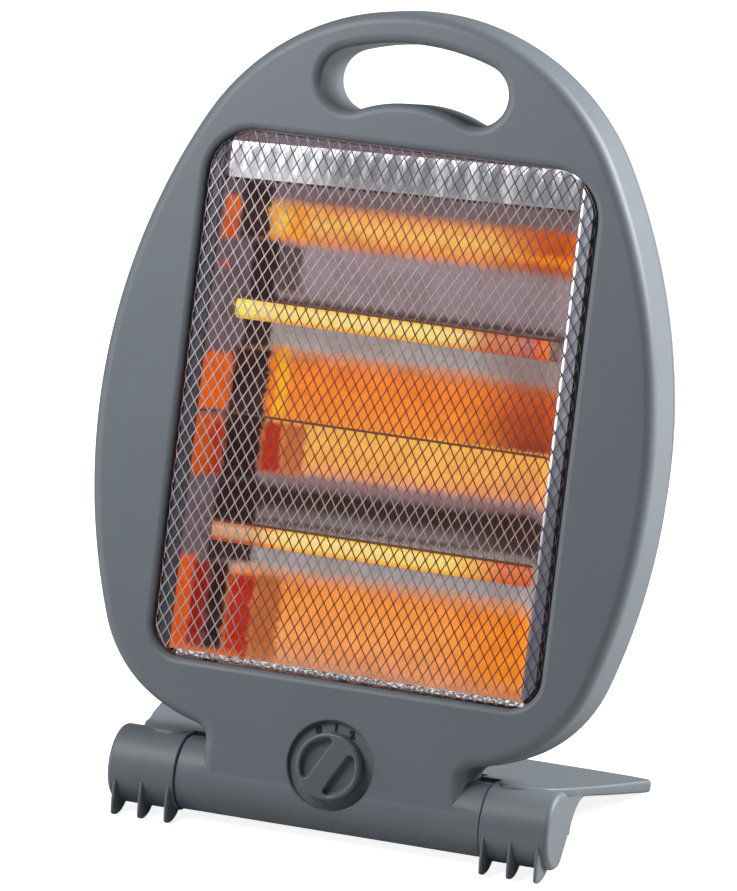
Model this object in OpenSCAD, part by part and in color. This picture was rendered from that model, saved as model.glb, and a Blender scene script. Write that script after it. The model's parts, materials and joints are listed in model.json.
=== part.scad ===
// Free-standing two-tube quartz heater: an egg-shaped body with a carry handle,
// held between the two hubs of a stand and leaning back on it.
//
// The body is drawn in its own axes: X across, Y from the front to the back and
// Z up along the body, with the origin in the middle of the tilt axis. posed()
// then leans it back and lifts it onto the floor, which is Z = 0.

/* [Stance] */
// Lean of the body back from upright, in degrees
lean = 20.5; // [17:0.5:22]
// Height of the tilt axis over the floor
axle_h = 20; // [19.5:0.1:20.5]
// How far the tilt axis lies in front of the middle of the object
axle_front = 64.1; // [60:0.1:66]

/* [Body outline] */
// Height of the crown over the tilt axis
crown_h = 380.7; // [370:0.1:390]
// Radius of the outline over the crown
crown_r = 119.3; // [118:0.1:121]
// Radius of the long flanks
flank_r = 308.7; // [306:0.1:311]
// Radius of the turn below the flanks
bilge_r = 66.3; // [65:0.1:68]
// Radius of the underside towards the neck
keel_r = 96.3; // [95:0.1:98]
// Radius of the hollow between the underside and the neck
neck_r = 6; // [5:0.5:7]

/* [Body depth] */
// Distance of the flat face in front of the tilt axis
face_front = 17.6; // [17:0.1:17.9]
// Depth of the widest ring behind the tilt axis, where the shells meet
part_y = 11; // [9:0.5:13]
// Depth of the rim's back behind the tilt axis
back_y = 22; // [20.5:0.5:24]
// Depth of the hood over the reflector, behind the tilt axis
hood_y = 42; // [40:0.5:46]
// Wall of the moulded shells
wall = 2.6; // [2.2:0.1:3]
// Rounding of the front rim
rim_r = 6; // [4:0.5:7]
// Draft of the side wall, from the widest ring to the front
draft = 1; // [0:0.1:1.5]

/* [Window] */
// Half the window's width
win_half = 99.3; // [98:0.1:100]
// Height of the window's lower edge over the tilt axis
win_low = 56.2; // [55:0.1:58]
// Height of the window's upper edge over the tilt axis
win_high = 314.5; // [312:0.1:316]
// Radius of the window's upper corners
win_top_r = 24; // [20:1:28]
// Radius of the window's lower corners
win_low_r = 16; // [14:1:20]
// Depth of the window's lip behind the face
lip_depth = 7; // [6:0.5:8]

/* [Carry handle] */
// Height of the hole's upper edge over the tilt axis
grip_top = 364.4; // [362:0.1:365]
// Softness of the hole's edges
grip_soft = 4.6; // [3:0.1:5]

/* [Knob] */
// Height of the knob over the tilt axis
knob_h = 15.9; // [15:0.1:17]
// Radius of the dish round the knob
dish_r = 21.8; // [21:0.1:23]
// Radius of the knob
knob_r = 16.4; // [15:0.1:17]
// How far the knob stands proud of the face
knob_proud = 4.5; // [3:0.1:6]
// Where the knob points, in degrees clockwise from the top
knob_turn = 30; // [-30:30:30]

/* [Guard] */
// Columns of the net
net_columns = 12; // [8:1:13]
// Rows of the net
net_rows = 9; // [6:1:10]
// Width of a strand
strand = 1.3; // [0.8:0.1:2]

/* [Quartz tubes] */
// Outer diameter of a tube
tube_d = 10.7; // [9:0.1:11]
// Height of the upper tube over the tilt axis
tube_high = 227.5; // [226:0.5:229]
// Height of the lower tube over the tilt axis
tube_low = 119; // [118:0.5:121]
// Curls of each heating coil
coil_turns = 20; // [10:1:22]
// Radius of a coil, at the middle of its wire
coil_r = 3; // [2:0.1:3.2]
// Diameter of the coil's wire
coil_wire = 0.9; // [0.6:0.1:1]

/* [Stand] */
// Radius of the barrel between the hubs
barrel_r = 18; // [17.8:0.1:18.2]
// Radius of the hubs
hub_r = 19; // [18.5:0.1:19.2]
// Half the length over both hubs
hub_end = 113; // [110:0.5:116]
// Rounding of the hubs' outer ends
hub_round = 6; // [3:0.5:7]
// Half the width over the wing's rear corners
wing_half = 128; // [124:0.5:134]
// How far the wing reaches behind the tilt axis
wing_back = 98.5; // [94:0.5:102]
// Thickness of the wing's edge
wing_t = 5; // [4.5:0.1:6]
// Thickness of a toe
toe_t = 2.4; // [2:0.1:3]

/* [Hidden] */
$fn = 64;

plastic = [0.44, 0.48, 0.51];
bright_steel = [0.80, 0.81, 0.82];
glow = [1.00, 0.66, 0.22];
white_ceramic = [0.90, 0.88, 0.82];
dark_steel = [0.30, 0.30, 0.32];
black_plastic = [0.12, 0.12, 0.13];

face_y = -face_front;
inner_face_y = face_y + wall;
hood_inner_y = hood_y - wall;
lip_y = face_y + lip_depth;
neck_foot = 2;               // where the neck sinks into the barrel
waist_h = barrel_r + 2.5;    // below this height the back steps in to the barrel
gap = 0.3;                   // air between pieces that move on each other
sheet = 0.5;                 // bent sheet metal
fine = 0.01;

// ---- outlines ----------------------------------------------------------

// Points along a run of tangent arcs that starts at p. An arc is [radius, turn]
// in degrees, clockwise; a negative radius bends it the other way. grow moves
// the whole run outwards.
function arc_run(arcs, p, head, grow, i = 0) =
    i == len(arcs) ? [] :
    let (side = sign(arcs[i][0]), turn = arcs[i][1], r = abs(arcs[i][0]) + side * grow,
         c = p - side * r * [sin(head), cos(head)],
         steps = ceil(max(turn / 9, abs(arcs[i][0]) * turn * PI / 180 / 12)),
         pts = [for (k = [1:steps]) let (a = head + side * turn * k / steps)
             c + side * r * [sin(a), cos(a)]])
    concat(pts, arc_run(arcs, pts[steps - 1], head + side * turn, grow, i + 1));

// The right half of an outline with its mirror image
function both_sides(half) =
    concat(half, [for (i = [len(half) - 1:-1:0]) if (abs(half[i].x) > 0.01) [-half[i].x, half[i].y]]);

// The body's outline from the crown to the neck's foot
egg_arcs = [[crown_r, 61.5], [flank_r, 47.6], [bilge_r, 43], [keel_r, 14], [-neck_r, 76.1]];
function egg(grow) =
    let (top = [0, crown_h + grow], half = arc_run(egg_arcs, top, 0, grow), foot = half[len(half) - 1])
    both_sides(concat([top], half, [[foot.x, neck_foot]]));

// The handle's hole: its upper edge follows the crown, its lower edge humps up
grip_arcs = [[115, 18.8], [15, 184.955], [-65, 23.755]];
function grip(grow) =
    let (top = [0, grip_top + grow])
    both_sides(concat([top], arc_run(grip_arcs, top, 0, grow)));

// A rectangle with one radius for its upper and one for its lower corners
function rounded(half_w, low, high, top_r, low_r, grow) =
    let (corners = [[half_w - top_r, high - top_r, top_r, 0], [half_w - low_r, low + low_r, low_r, 90],
                    [low_r - half_w, low + low_r, low_r, 180], [top_r - half_w, high - top_r, top_r, 270]])
    [for (c = corners, k = [0:6]) let (a = c[3] + 15 * k)
        [c[0] + (c[2] + grow) * sin(a), c[1] + (c[2] + grow) * cos(a)]];
function window(grow) = rounded(win_half, win_low, win_high, win_top_r, win_low_r, grow);

// ---- helpers -----------------------------------------------------------

// Places what is drawn in the body's axes
module posed() translate([0, -axle_front, axle_h]) rotate([-lean, 0, 0]) children();

// A flat shape in X and Z, from depth y0 to y1
module deep(y0, y1) translate([0, y1, 0]) rotate([90, 0, 0]) linear_extrude(y1 - y0) children();

// A side profile in Y and Z, from x0 to x1
module across(x0, x1) translate([x0, 0, 0]) rotate([90, 0, 90]) linear_extrude(x1 - x0) children();

// A round bar along X or Y
module bar_x(x0, x1, r) translate([x0, 0, 0]) rotate([0, 90, 0]) cylinder(x1 - x0, r, r);
module bar_y(y0, y1, r) translate([0, y0, 0]) rotate([-90, 0, 0]) cylinder(y1 - y0, r, r);

// A solid through rings of as many points each; a ring is [depth, outline]
module loft(rings) {
    n = len(rings[0][1]);
    last = (len(rings) - 1) * n;
    points = [for (ring = rings, p = ring[1]) [p.x, ring[0], p.y]];
    sides = [for (j = [0:n:last - n], i = [0:n - 1]) let (k = (i + 1) % n)
        each [[j + i, j + i + n, j + k], [j + k, j + i + n, j + k + n]]];
    polyhedron(points, concat(sides, [[for (i = [0:n - 1]) i]], [[for (i = [n - 1:-1:0]) last + i]]));
}

// Depth and inset along a quarter round of radius r, from the face y inwards
function quarter(y, r, way) = [for (k = [0:4]) [y + way * r * (1 - cos(22.5 * k)), r * (1 - sin(22.5 * k))]];

// Depth and inset along a quarter round of radius r, outwards to the back face y
function roll(y, r) = [for (k = [0:4]) [y - r * (1 - sin(22.5 * k)), r * (1 - cos(22.5 * k))]];

// A bent sheet: bars of thickness t along the points, rounded where they meet
module bent(points, t) {
    for (i = [0:len(points) - 2]) {
        a = points[i];
        b = points[i + 1];
        translate(a) rotate(atan2(b.y - a.y, b.x - a.x)) translate([0, -t / 2]) square([norm(b - a), t]);
    }
    for (i = [1:len(points) - 2]) translate(points[i]) circle(t / 2, $fn = 24);
}

// A slot with round ends
module slot(length, width) {
    square([length - width, width], center = true);
    for (s = [-1, 1]) translate([s * (length - width) / 2, 0]) circle(width / 2);
}

// A closed tube through rings of m points each
module ringed_tube(points, m) {
    last = len(points) - m;
    sides = [for (j = [0:m:last - m], b = [0:m - 1]) let (c = (b + 1) % m)
        each [[j + b, j + c, j + m + b], [j + c, j + m + c, j + m + b]]];
    polyhedron(points, concat(sides, [[for (b = [m - 1:-1:0]) b]], [[for (b = [0:m - 1]) last + b]]));
}

// A path with its corners rounded, no wider than bend
function softened(points, bend) =
    [points[0],
     for (i = [1:len(points) - 2])
        let (p = points[i], u = points[i - 1] - p, v = points[i + 1] - p,
             b = min(bend, norm(u) / 2.2, norm(v) / 2.2), a = p + u * b / norm(u), c = p + v * b / norm(v))
        each [a, (a + 2 * p + c) / 4, c],
     points[len(points) - 1]];

// The rings along a path, each in the plane that halves the bend there
function mitred(path, ring, i = 1) =
    i == len(path) ? [] :
    let (way = path[i] - path[i - 1], onward = path[min(i + 1, len(path) - 1)] - path[min(i, len(path) - 2)],
         d = way / norm(way), plane = d + onward / norm(onward),
         next = [for (p = ring) p + d * ((path[i] - p) * plane) / (d * plane)])
    concat(next, mitred(path, next, i + 1));

// A sleeved lead through points, the first two of them along X
module lead(points, r) {
    path = softened(points, 5);
    side = sign(path[1].x - path[0].x);
    first = [for (k = [0:7]) path[0] + r * [0, cos(45 * k), side * sin(45 * k)]];
    ringed_tube(concat(first, mitred(path, first)), 8);
}

// A screw with a pan head, driven towards the front from depth y
module screw(y, length, r, head_r) {
    bar_y(y - length, y + fine, r);
    difference() {
        bar_y(y, y + 1.8, head_r);
        for (a = [0, 90]) translate([0, y + 1.4, 0]) rotate([0, a, 0]) cube([head_r, 2, 0.8], center = true);
    }
}

// ---- stand -------------------------------------------------------------

wing_low = 14.4;
wing_top = wing_low + wing_t;
web_r = 12;                  // hollow between a hub and the wing
hub_hollow = 14.2;
hub_flat = 17;               // distance of the flat on a hub's back from the axis
barrel_half = 78;
hub_in = barrel_half + 1;
toe_pitch = 13.8;
toe_first = 80.8;
pin_r = 4;
pin_end = 100;
pin_head = 58;
boss_r = 8;

function corner(c, r, a0, a1) = [for (k = [0:6]) let (a = a0 + (a1 - a0) * k / 6) c + r * [cos(a), sin(a)]];
wing_side = atan2(wing_half - hub_end, wing_back - 34);
// The wing's front edge over the right hub, from the barrel outwards
wing_front = [[hub_in, 3], [80.5, -2], [83, -5.6], [87, -7.4], [92, -7], [97, -4.5], [101.5, 0], [105, 6],
              [108, 14], [110.5, 22], [112.2, 30]];
function wing_outline(grow) =
    let (r = 5 + grow, c = [wing_half - 5, wing_back - 5])
    concat(wing_front, corner(c, r, -wing_side, 90), corner([-c.x, c.y], r, 90, 180 + wing_side),
           [for (i = [len(wing_front) - 1:-1:0]) [-wing_front[i].x, wing_front[i].y]]);

// The hollow curve that carries a hub's back into the wing's underside
module web_profile() difference() {
    reach = sqrt(pow(hub_r + web_r, 2) - pow(wing_low - web_r, 2));
    translate([5, -1]) square([reach - 5, wing_low + 2]);
    translate([reach, wing_low - web_r]) circle(web_r, $fn = 96);
}

// A toe in profile: a steep front, and a round heel that stands on the floor
toe_heel = [-11.75, -9.73];
module toe_profile() intersection() {
    translate([41.7, -10]) circle(60, $fn = 180);
    translate(toe_heel) circle(15.1, $fn = 96);
    translate([-25, -32]) square([26, 31]);
}

module hub(side) {
    mirror([side < 0 ? 1 : 0, 0, 0]) {
        difference() {
            union() {
                bar_x(hub_in, hub_end - hub_round, hub_r, $fn = 96);
                for (a = [0:22.5:67.5]) translate([hub_end - hub_round * (1 - sin(a)) - fine, 0, 0])
                    rotate([0, 90, 0]) cylinder(hub_round * (sin(a + 22.5) - sin(a)) + fine,
                        hub_r - hub_round * (1 - cos(a)), hub_r - hub_round * (1 - cos(a + 22.5)), $fn = 96);
                across(hub_in, hub_end - 2.5) web_profile();
            }
            rotate([-27, 0, 0]) translate([hub_in - 1, hub_flat, -60]) cube([60, 40, 70]);
            difference() {
                bar_x(hub_in - 1, hub_end - wall, hub_hollow);
                bar_x(hub_in - 2, hub_end, boss_r);
                for (a = [0:45:135]) rotate([a, 0, 0]) cube([2 * hub_end, 1.6, 3 * hub_r], center = true);
            }
            bar_x(hub_in - 1, pin_end, pin_r);
        }
        for (i = [0:2]) {
            x = toe_first + i * toe_pitch;
            across(x - toe_t / 2, x + toe_t / 2) difference() {
                toe_profile();
                circle(hub_r - 1.5);
            }
        }
    }
}

module stand() {
    color(plastic) difference() {
        posed() {
            hub(-1);
            hub(1);
            difference() {
                translate([0, 0, wing_low]) linear_extrude(wing_t) polygon(wing_outline(0));
                translate([0, 0, wing_low - 1]) linear_extrude(wing_t + 1 - 2.4) difference() {
                    polygon(wing_outline(-3));
                    translate([-hub_end - 1, -10]) square([2 * hub_end + 2, 48]);
                    for (x = [-90, -45, 0, 45, 90]) translate([x - 0.9, 0]) square([1.8, wing_back]);
                }
                translate([-hub_in, -20, 0]) cube([2 * hub_in, 35.2, 40]);
                translate([-68.5, -20, 0]) cube([137, 39.5, 40]);
            }
            // stops that the body leans back on
            for (x = [-42, 42]) translate([x - 4, 22, wing_top - fine])
                cube([8, 9, waist_h - gap - wing_top]);
        }
        translate([-200, -200, -50]) cube([400, 400, 50]);
    }
}

module pivot_pin(side) color(bright_steel) posed() mirror([side < 0 ? 1 : 0, 0, 0]) {
    bar_x(pin_head - 2.5, pin_head, 7);
    bar_x(pin_head - fine, pin_end, pin_r);
}
module pivot_pin_left() pivot_pin(-1);
module pivot_pin_right() pivot_pin(1);

module friction_washer(side) color(dark_steel) posed() mirror([side < 0 ? 1 : 0, 0, 0]) difference() {
    bar_x(hub_in - 1 + gap, hub_in, boss_r);
    bar_x(hub_in - 2, hub_in + 1, pin_r);
}
module friction_washer_left() friction_washer(-1);
module friction_washer_right() friction_washer(1);

// ---- shells ------------------------------------------------------------

bush_r = 9;
bush_in = pin_head + gap;
boss_places = [[74, 332], [122, 205], [114, 80]];
barrel_screw_x = 42;
shell_boss_r = 4;
side_screw_x = 107;          // screws that hold the reflector and the guard
side_screw_heights = [90, 175, 270];
vent_size = [44, 4];
vent_pitch = 8;
hood_half = 104;
hood_low = 46;
hood_high = 322;
hood_slope = 12;
hood_corner = 42;
hood_roll = 7;
rear_roll = 8;
flank_in = 6;                // how far the back's low flanks draw in behind the widest ring
grommet_at = [-52, 0, 34];
grommet_hole = 5;
grommet_bore = 3.6;

front_rings = [for (q = quarter(face_y, rim_r, 1)) [q[0], egg(-draft - q[1])]];
front_outer = concat(front_rings, [[part_y, egg(0)]]);
front_inner = [[inner_face_y, egg(-draft - wall - 2.2)], [inner_face_y + 2.4, egg(-draft - wall)],
               [part_y + 1, egg(-wall)]];

// The body's outline behind the widest ring, where the low flanks draw in
function low(z) = min(1, max(0, (200 - z) / 140));
function rear_egg(y, grow) =
    let (outside = egg(grow), inside = egg(grow - flank_in * max(0, y - part_y) / (back_y - part_y)))
    [for (i = [0:len(outside) - 1]) outside[i] + (inside[i] - outside[i]) * low(outside[i].y)];
rear_outer = concat([[part_y, egg(0)]],
                    [for (q = roll(back_y, rear_roll)) [q[0], rear_egg(q[0], -0.4 - q[1])]]);
rear_inner = [for (q = [[-1, 0], [back_y - part_y - rear_roll, 0.4], [back_y - part_y - wall - 1.6, 3],
                        [back_y - part_y - wall, 7]]) [part_y + q[0], rear_egg(part_y + q[0], -wall - q[1])]];

function hood(grow) = rounded(hood_half, hood_low, hood_high, hood_corner, hood_corner, grow);
hood_outer = concat([[back_y - 1, hood(1)]],
                    [for (q = roll(hood_y, hood_roll)) [q[0], hood(-hood_slope - q[1])]]);
hood_inner = [[back_y - wall - 1, hood(1 - wall)], [hood_inner_y - 4, hood(-hood_slope - wall)],
              [hood_inner_y, hood(-hood_slope - wall - 4)]];

// The clear hole, with its soft mouth at depth y facing way
module grip_cut(y, way, inner_y) {
    mouth = concat([[y - way, grip(grip_soft)]], [for (q = quarter(y, grip_soft, way)) [q[0], grip(q[1])]],
                   [[inner_y, grip(0)]]);
    loft(way > 0 ? mouth : [for (i = [len(mouth) - 1:-1:0]) mouth[i]]);
}

module half_barrel(way) {
    intersection() {
        bar_x(-barrel_half, barrel_half, barrel_r, $fn = 96);
        translate([-100, way < 0 ? -50 : 0, -50]) cube([200, 50, 100]);
    }
}

// Ribs in the barrel that cradle the bushes
module cradles(way) {
    for (s = [-1, 1]) intersection() {
        translate([s * 61.5 - 1.25, way < 0 ? -20 : 0, -20]) cube([2.5, 20, 40]);
        bar_x(-70, 70, barrel_r - wall + 0.1);
    }
}

module bush_bores() {
    for (s = [0, 1]) mirror([s, 0, 0]) bar_x(bush_in - 1, barrel_half + 1, bush_r);
}

module at_bosses() {
    for (p = boss_places, s = [-1, 1]) translate([s * p.x, 0, p.y]) children();
}
module at_barrel_screws() for (s = [-1, 1]) translate([s * barrel_screw_x, 0, 0]) children();
module at_side_screws() {
    for (s = [-1, 1], z = side_screw_heights) translate([s * side_screw_x, 0, z]) children();
}

module front_shell() {
    color(plastic) posed() difference() {
        union() {
            difference() {
                union() {
                    loft(front_outer);
                    half_barrel(-1);
                }
                loft(front_inner);
                bar_x(3 - barrel_half, barrel_half - 3, barrel_r - wall);
            }
            deep(inner_face_y - 1, part_y) polygon(grip(wall));
            deep(inner_face_y - 1, lip_y) polygon(window(2.2));
            intersection() {
                translate([0, 0, knob_h]) bar_y(face_y + 3, face_y + 5.4, dish_r + 2.4);
                union() {
                    bar_x(-60, 60, barrel_r - 0.5);
                    translate([-60, -60, 3]) cube([120, 100, 60]);
                }
            }
            cradles(-1);
            at_bosses() bar_y(inner_face_y - fine, part_y, shell_boss_r);
            at_barrel_screws() bar_y(-barrel_r + 1.5, 0, shell_boss_r);
            at_side_screws() bar_y(inner_face_y - fine, pan_back, 3.6);
        }
        grip_cut(face_y, 1, part_y + 1);
        loft(concat([[face_y - 1, window(3.5)]], [for (q = quarter(face_y, 3.5, 1)) [q[0], window(q[1])]],
                    [[lip_y + 1, window(0)]]));
        translate([0, 0, knob_h]) bar_y(face_y - 5, face_y + 3, dish_r);
        translate([0, 0, knob_h]) bar_y(face_y, 0, switch_neck_r);
        bush_bores();
        at_bosses() bar_y(part_y - 16, part_y + 1, 1.25);
        at_barrel_screws() bar_y(-13, 1, 1.25);
        at_side_screws() bar_y(inner_face_y + 0.8, pan_back + 1, 1.1);
    }
}

module rear_shell() {
    color(plastic) posed() difference() {
        union() {
            difference() {
                union() {
                    difference() {
                        union() {
                            loft(rear_outer);
                            loft(hood_outer);
                        }
                        translate([-150, barrel_r, -50]) cube([300, 50, 50 + waist_h]);
                    }
                    half_barrel(1);
                }
                difference() {
                    union() {
                        loft(rear_inner);
                        loft(hood_inner);
                    }
                    translate([-150, barrel_r - wall, -50]) cube([300, 50, 50 + waist_h + wall]);
                }
                bar_x(3 - barrel_half, barrel_half - 3, barrel_r - wall);
                translate([-67.2, -1, neck_foot - 0.2]) cube([134.4, 1 + part_y, 60]);
            }
            deep(part_y, back_y - 1) polygon(grip(wall));
            intersection() {
                cradles(1);
                translate([-100, -1, -50]) cube([200, 50, 50 + neck_foot - 0.2]);
            }
            at_bosses() bar_y(part_y, back_y - 0.5, shell_boss_r + 1);
            at_barrel_screws() bar_y(0, barrel_r - 1.5, shell_boss_r);
        }
        grip_cut(back_y, -1, part_y - 1);
        bush_bores();
        at_bosses() {
            bar_y(part_y - 1, back_y, 1.7);
            bar_y(back_y - 4.5, back_y + 1, 3.7);
        }
        at_barrel_screws() {
            bar_y(-1, barrel_r, 1.7);
            bar_y(barrel_r - 4, barrel_r + 1, 3.7);
        }
        translate(grommet_at) bar_y(part_y, back_y + 1, grommet_hole);
        for (low = [72, 256], row = [0:5], x = [-52, 0, 52])
            translate([x, 0, low + vent_pitch * row]) deep(hood_y - 6, hood_y + 1)
                slot(vent_size.x, vent_size.y);
    }
}

module barrel_bush(side) color(black_plastic) posed() mirror([side < 0 ? 1 : 0, 0, 0]) difference() {
    bar_x(bush_in, barrel_half, bush_r);
    bar_x(bush_in - 1, barrel_half + 1, pin_r + 0.05);
}
module barrel_bush_left() barrel_bush(-1);
module barrel_bush_right() barrel_bush(1);

module shell_screws() color(dark_steel) posed() {
    at_bosses() screw(back_y - 4.5, 20, 1.25, 3.4);
    at_barrel_screws() screw(barrel_r - 4, 24, 1.25, 3.4);
}

// The inlet where the cord enters, with a flange on each side of the wall
module cord_grommet() color(black_plastic) posed() translate(grommet_at) difference() {
    union() {
        bar_y(back_y - wall - 2, back_y - wall, 6.5);
        bar_y(back_y - wall - fine, back_y + fine, grommet_hole);
        bar_y(back_y, back_y + 2, 7);
    }
    bar_y(back_y - wall - 3, back_y + 3, grommet_bore);
}

// ---- guard -------------------------------------------------------------

pan_front = face_y + 1;
pan_back = lip_y + sheet;
pan_gap = 0.9;
net_half = win_half - pan_gap - 3.2;
net_low = win_low + pan_gap + 3.2;
net_high = win_high - pan_gap - 3.2;

// The net's gaps: diamonds on a grid, cut off at the net's border
module net_gaps() {
    w = 2 * net_half / net_columns;
    h = (net_high - net_low) / net_rows;
    half = [w / 2 - strand * norm([w, h]) / h / 2, h / 2 - strand * norm([w, h]) / w / 2];
    for (i = [0:2 * net_columns], j = [0:2 * net_rows]) if ((i + j) % 2 == 1) {
        c = [i * w / 2 - net_half, net_low + j * h / 2];
        points = [for (q = [[half.x, 0], [0, half.y], [-half.x, 0], [0, -half.y]]) let (p = c + q)
            if (abs(p.x) < net_half + fine && p.y > net_low - fine && p.y < net_high + fine) p];
        polygon(points);
    }
}

module ring_deep(y0, y1, outer, inner) deep(y0, y1) difference() {
    polygon(window(outer));
    polygon(window(inner));
}

module guard_mesh() color(bright_steel) posed() {
    deep(pan_front + 0.1, pan_front + 0.9) difference() {
        polygon(window(-pan_gap - 0.3));
        net_gaps();
    }
    ring_deep(pan_front, pan_front + sheet, -pan_gap, -pan_gap - 3.4);
    ring_deep(pan_front, pan_back, -pan_gap, -pan_gap - sheet);
    ring_deep(pan_back - sheet, pan_back, 2.2, -pan_gap - sheet);
}

// ---- reflector ---------------------------------------------------------

trough_y = 28;                            // the flat backs of the two troughs
end_front = [90.5, pan_front + 1.3];      // front edge of a slanted end
end_back = [70, trough_y + sheet];        // back edge of a slanted end
flange_y = pan_back + sheet / 2;
trough = [[flange_y, 322], [flange_y, 300], [-4, 294], [trough_y, 262], [trough_y, 209], [-1, 176.5],
          [trough_y, 144], [trough_y, 102], [-6, 68], [flange_y, 62], [flange_y, 49]];

// Everything inside the guard's rolled edge and, behind it, inside the shells
module inside_pan() {
    deep(pan_front, pan_back + fine) polygon(window(-pan_gap - sheet - 0.3));
    deep(pan_back, hood_y) polygon(egg(-wall - 3));
}

// Everything between the two slanted ends
module between_ends() {
    inset = 0.3;
    linear_extrude(400) polygon([[inset - end_front.x, end_front.y], [end_front.x - inset, end_front.y],
                                 [end_back.x - inset, end_back.y], [inset - end_back.x, end_back.y]]);
}

module reflector() color(bright_steel) posed() intersection() {
    across(-100, 100) bent(trough, sheet);
    between_ends();
}

module reflector_end(side) color(bright_steel) posed() mirror([side < 0 ? 1 : 0, 0, 0]) difference() {
    intersection() {
        translate([0, 0, 60]) linear_extrude(250) union() {
            bent([[97, end_front.y], end_front, end_back, [62, end_back.y]], sheet);
            bent([[88, flange_y], [110, flange_y]], sheet);
        }
        inside_pan();
    }
    for (z = [tube_low, tube_high]) translate([0, tube_y, z]) bar_x(60, 100, tube_d / 2 + 0.6);
    for (z = side_screw_heights) translate([side_screw_x, 0, z]) bar_y(flange_y - 1, flange_y + 1, 1.4);
}
module reflector_end_left() reflector_end(-1);
module reflector_end_right() reflector_end(1);

// Bright strip with upright flutes, over the upper trough
strip_y = pan_front + 3.2;
strip_low = 296;
strip_high = 312.6;
flute_pitch = 8.2;
flute_r = 1.8;
module fluted_strip() color(bright_steel) posed() intersection() {
    union() {
        translate([-100, strip_y, strip_low]) cube([200, sheet, strip_high - strip_low]);
        translate([-100, strip_y, strip_low]) cube([200, 3, sheet]);
        translate([-100, strip_y, strip_high - sheet]) cube([200, pan_back - strip_y, sheet]);
        for (i = [-10:10]) translate([i * flute_pitch, strip_y, strip_low + 1]) intersection() {
            cylinder(strip_high - strip_low - 2, flute_r, flute_r, $fn = 32);
            translate([-3, -3, 0]) cube([6, 3.2, 20]);
        }
    }
    inside_pan();
    between_ends();
}

module reflector_screws() color(dark_steel) posed() {
    at_side_screws() screw(pan_back + sheet + bracket_t, 5, 1.1, 2.6);
}

// ---- quartz tubes ------------------------------------------------------

tube_y = 1;
tube_half = 96;
cap_end = 108;
bracket_x = 100;
bracket_t = 0.8;

module quartz_tube(z) color(glow, 0.6) posed() translate([0, tube_y, z]) difference() {
    bar_x(-tube_half, tube_half, tube_d / 2);
    bar_x(-tube_half - 1, tube_half + 1, tube_d / 2 - 1.2);
}
module quartz_tube_upper() quartz_tube(tube_high);
module quartz_tube_lower() quartz_tube(tube_low);

module tube_caps(z) color(white_ceramic) posed() translate([0, tube_y, z]) for (s = [-1, 1])
    mirror([s < 0 ? 1 : 0, 0, 0]) difference() {
        union() {
            bar_x(92, cap_end, 7);
            bar_x(92, bracket_x - bracket_t / 2, 8);
        }
        bar_x(91, tube_half, tube_d / 2);
        bar_x(91, cap_end + 1, 1.2);
    }
module tube_caps_upper() tube_caps(tube_high);
module tube_caps_lower() tube_caps(tube_low);

// Upright bracket that both caps sit in, screwed on with the reflector
module tube_bracket(side) color(bright_steel) posed() mirror([side < 0 ? 1 : 0, 0, 0]) difference() {
    translate([0, 0, 84]) linear_extrude(192) union() {
        translate([bracket_x - bracket_t / 2, pan_back + sheet]) square([bracket_t, 20]);
        translate([bracket_x - bracket_t / 2, pan_back + sheet]) square([11, bracket_t]);
    }
    for (z = [tube_low, tube_high]) translate([0, tube_y, z]) bar_x(90, 110, 7);
    for (z = side_screw_heights) translate([side_screw_x, 0, z]) bar_y(pan_back, pan_back + 3, 1.4);
}
module tube_bracket_left() tube_bracket(-1);
module tube_bracket_right() tube_bracket(1);

// A coil's path: straight in, up to the coil's radius, round, and out again
coil_half = 58;
coil_tail = 102;
ring_step = 45;
function coil_point(a) =
    let (whole = 360 * coil_turns, rise = min(1, a / 180, (whole - a) / 180))
    [coil_half * (2 * a / whole - 1), coil_r * rise * cos(a), coil_r * rise * sin(a)];
coil_path = concat([[-coil_tail, 0, 0], [-coil_half - 2, 0, 0]],
                   [for (a = [0:ring_step:360 * coil_turns]) coil_point(a)],
                   [[coil_half + 2, 0, 0], [coil_tail, 0, 0]]);
turn_gap = min([for (i = [2:len(coil_path) - 3 - 360 / ring_step])
    norm(coil_path[i + 360 / ring_step] - coil_path[i])]) - coil_wire;

// A tube of six sides along a path that winds round the X axis
module wound_tube(path, r) {
    n = len(path);
    points = [for (i = [0:n - 1])
        let (ahead = path[min(i + 1, n - 1)] - path[max(i - 1, 0)],
             t = i == 0 || i == n - 1 ? [1, 0, 0] : ahead / norm(ahead),
             a = ring_step * min(max(i - 2, 0), n - 5),
             spoke = [0, cos(a), sin(a)] - t * (t * [0, cos(a), sin(a)]),
             u = spoke / norm(spoke),
             v = cross(t, u))
        for (b = [0:5]) path[i] + r * (cos(60 * b) * u + sin(60 * b) * v)];
    ringed_tube(points, 6);
}

module heating_coil(z) {
    echo(least_gap_between_turns = turn_gap);
    color(glow) posed() translate([0, tube_y, z]) wound_tube(coil_path, coil_wire / 2);
}
module heating_coil_upper() heating_coil(tube_high);
module heating_coil_lower() heating_coil(tube_low);

// ---- switch and knob ---------------------------------------------------

switch_neck_r = 4.5;
dish_floor_y = face_y + 3;
switch_y = dish_floor_y + 2.4;
spindle_r = 3;
knob_y = face_y - knob_proud;
spindle_tip = knob_y + 1.5;
grip_rib = 10;               // width of the rib between the finger hollows
hollow_r = 13.9;
hollow_depth = 3.7;
knob_back = dish_floor_y - 0.4;
knob_cavity = 2.2;

module switch_body() color(black_plastic) posed() translate([0, 0, knob_h]) difference() {
    union() {
        translate([-14, switch_y, -11]) cube([28, 17, 24]);
        bar_y(dish_floor_y - 2, switch_y + fine, switch_neck_r);
        for (x = [-9, 0, 9]) translate([x - 1.6, switch_y + 16, 6]) cube([3.2, 6, 0.8]);
    }
    bar_y(dish_floor_y - 3, switch_y + 12, spindle_r + 0.05);
}

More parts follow.
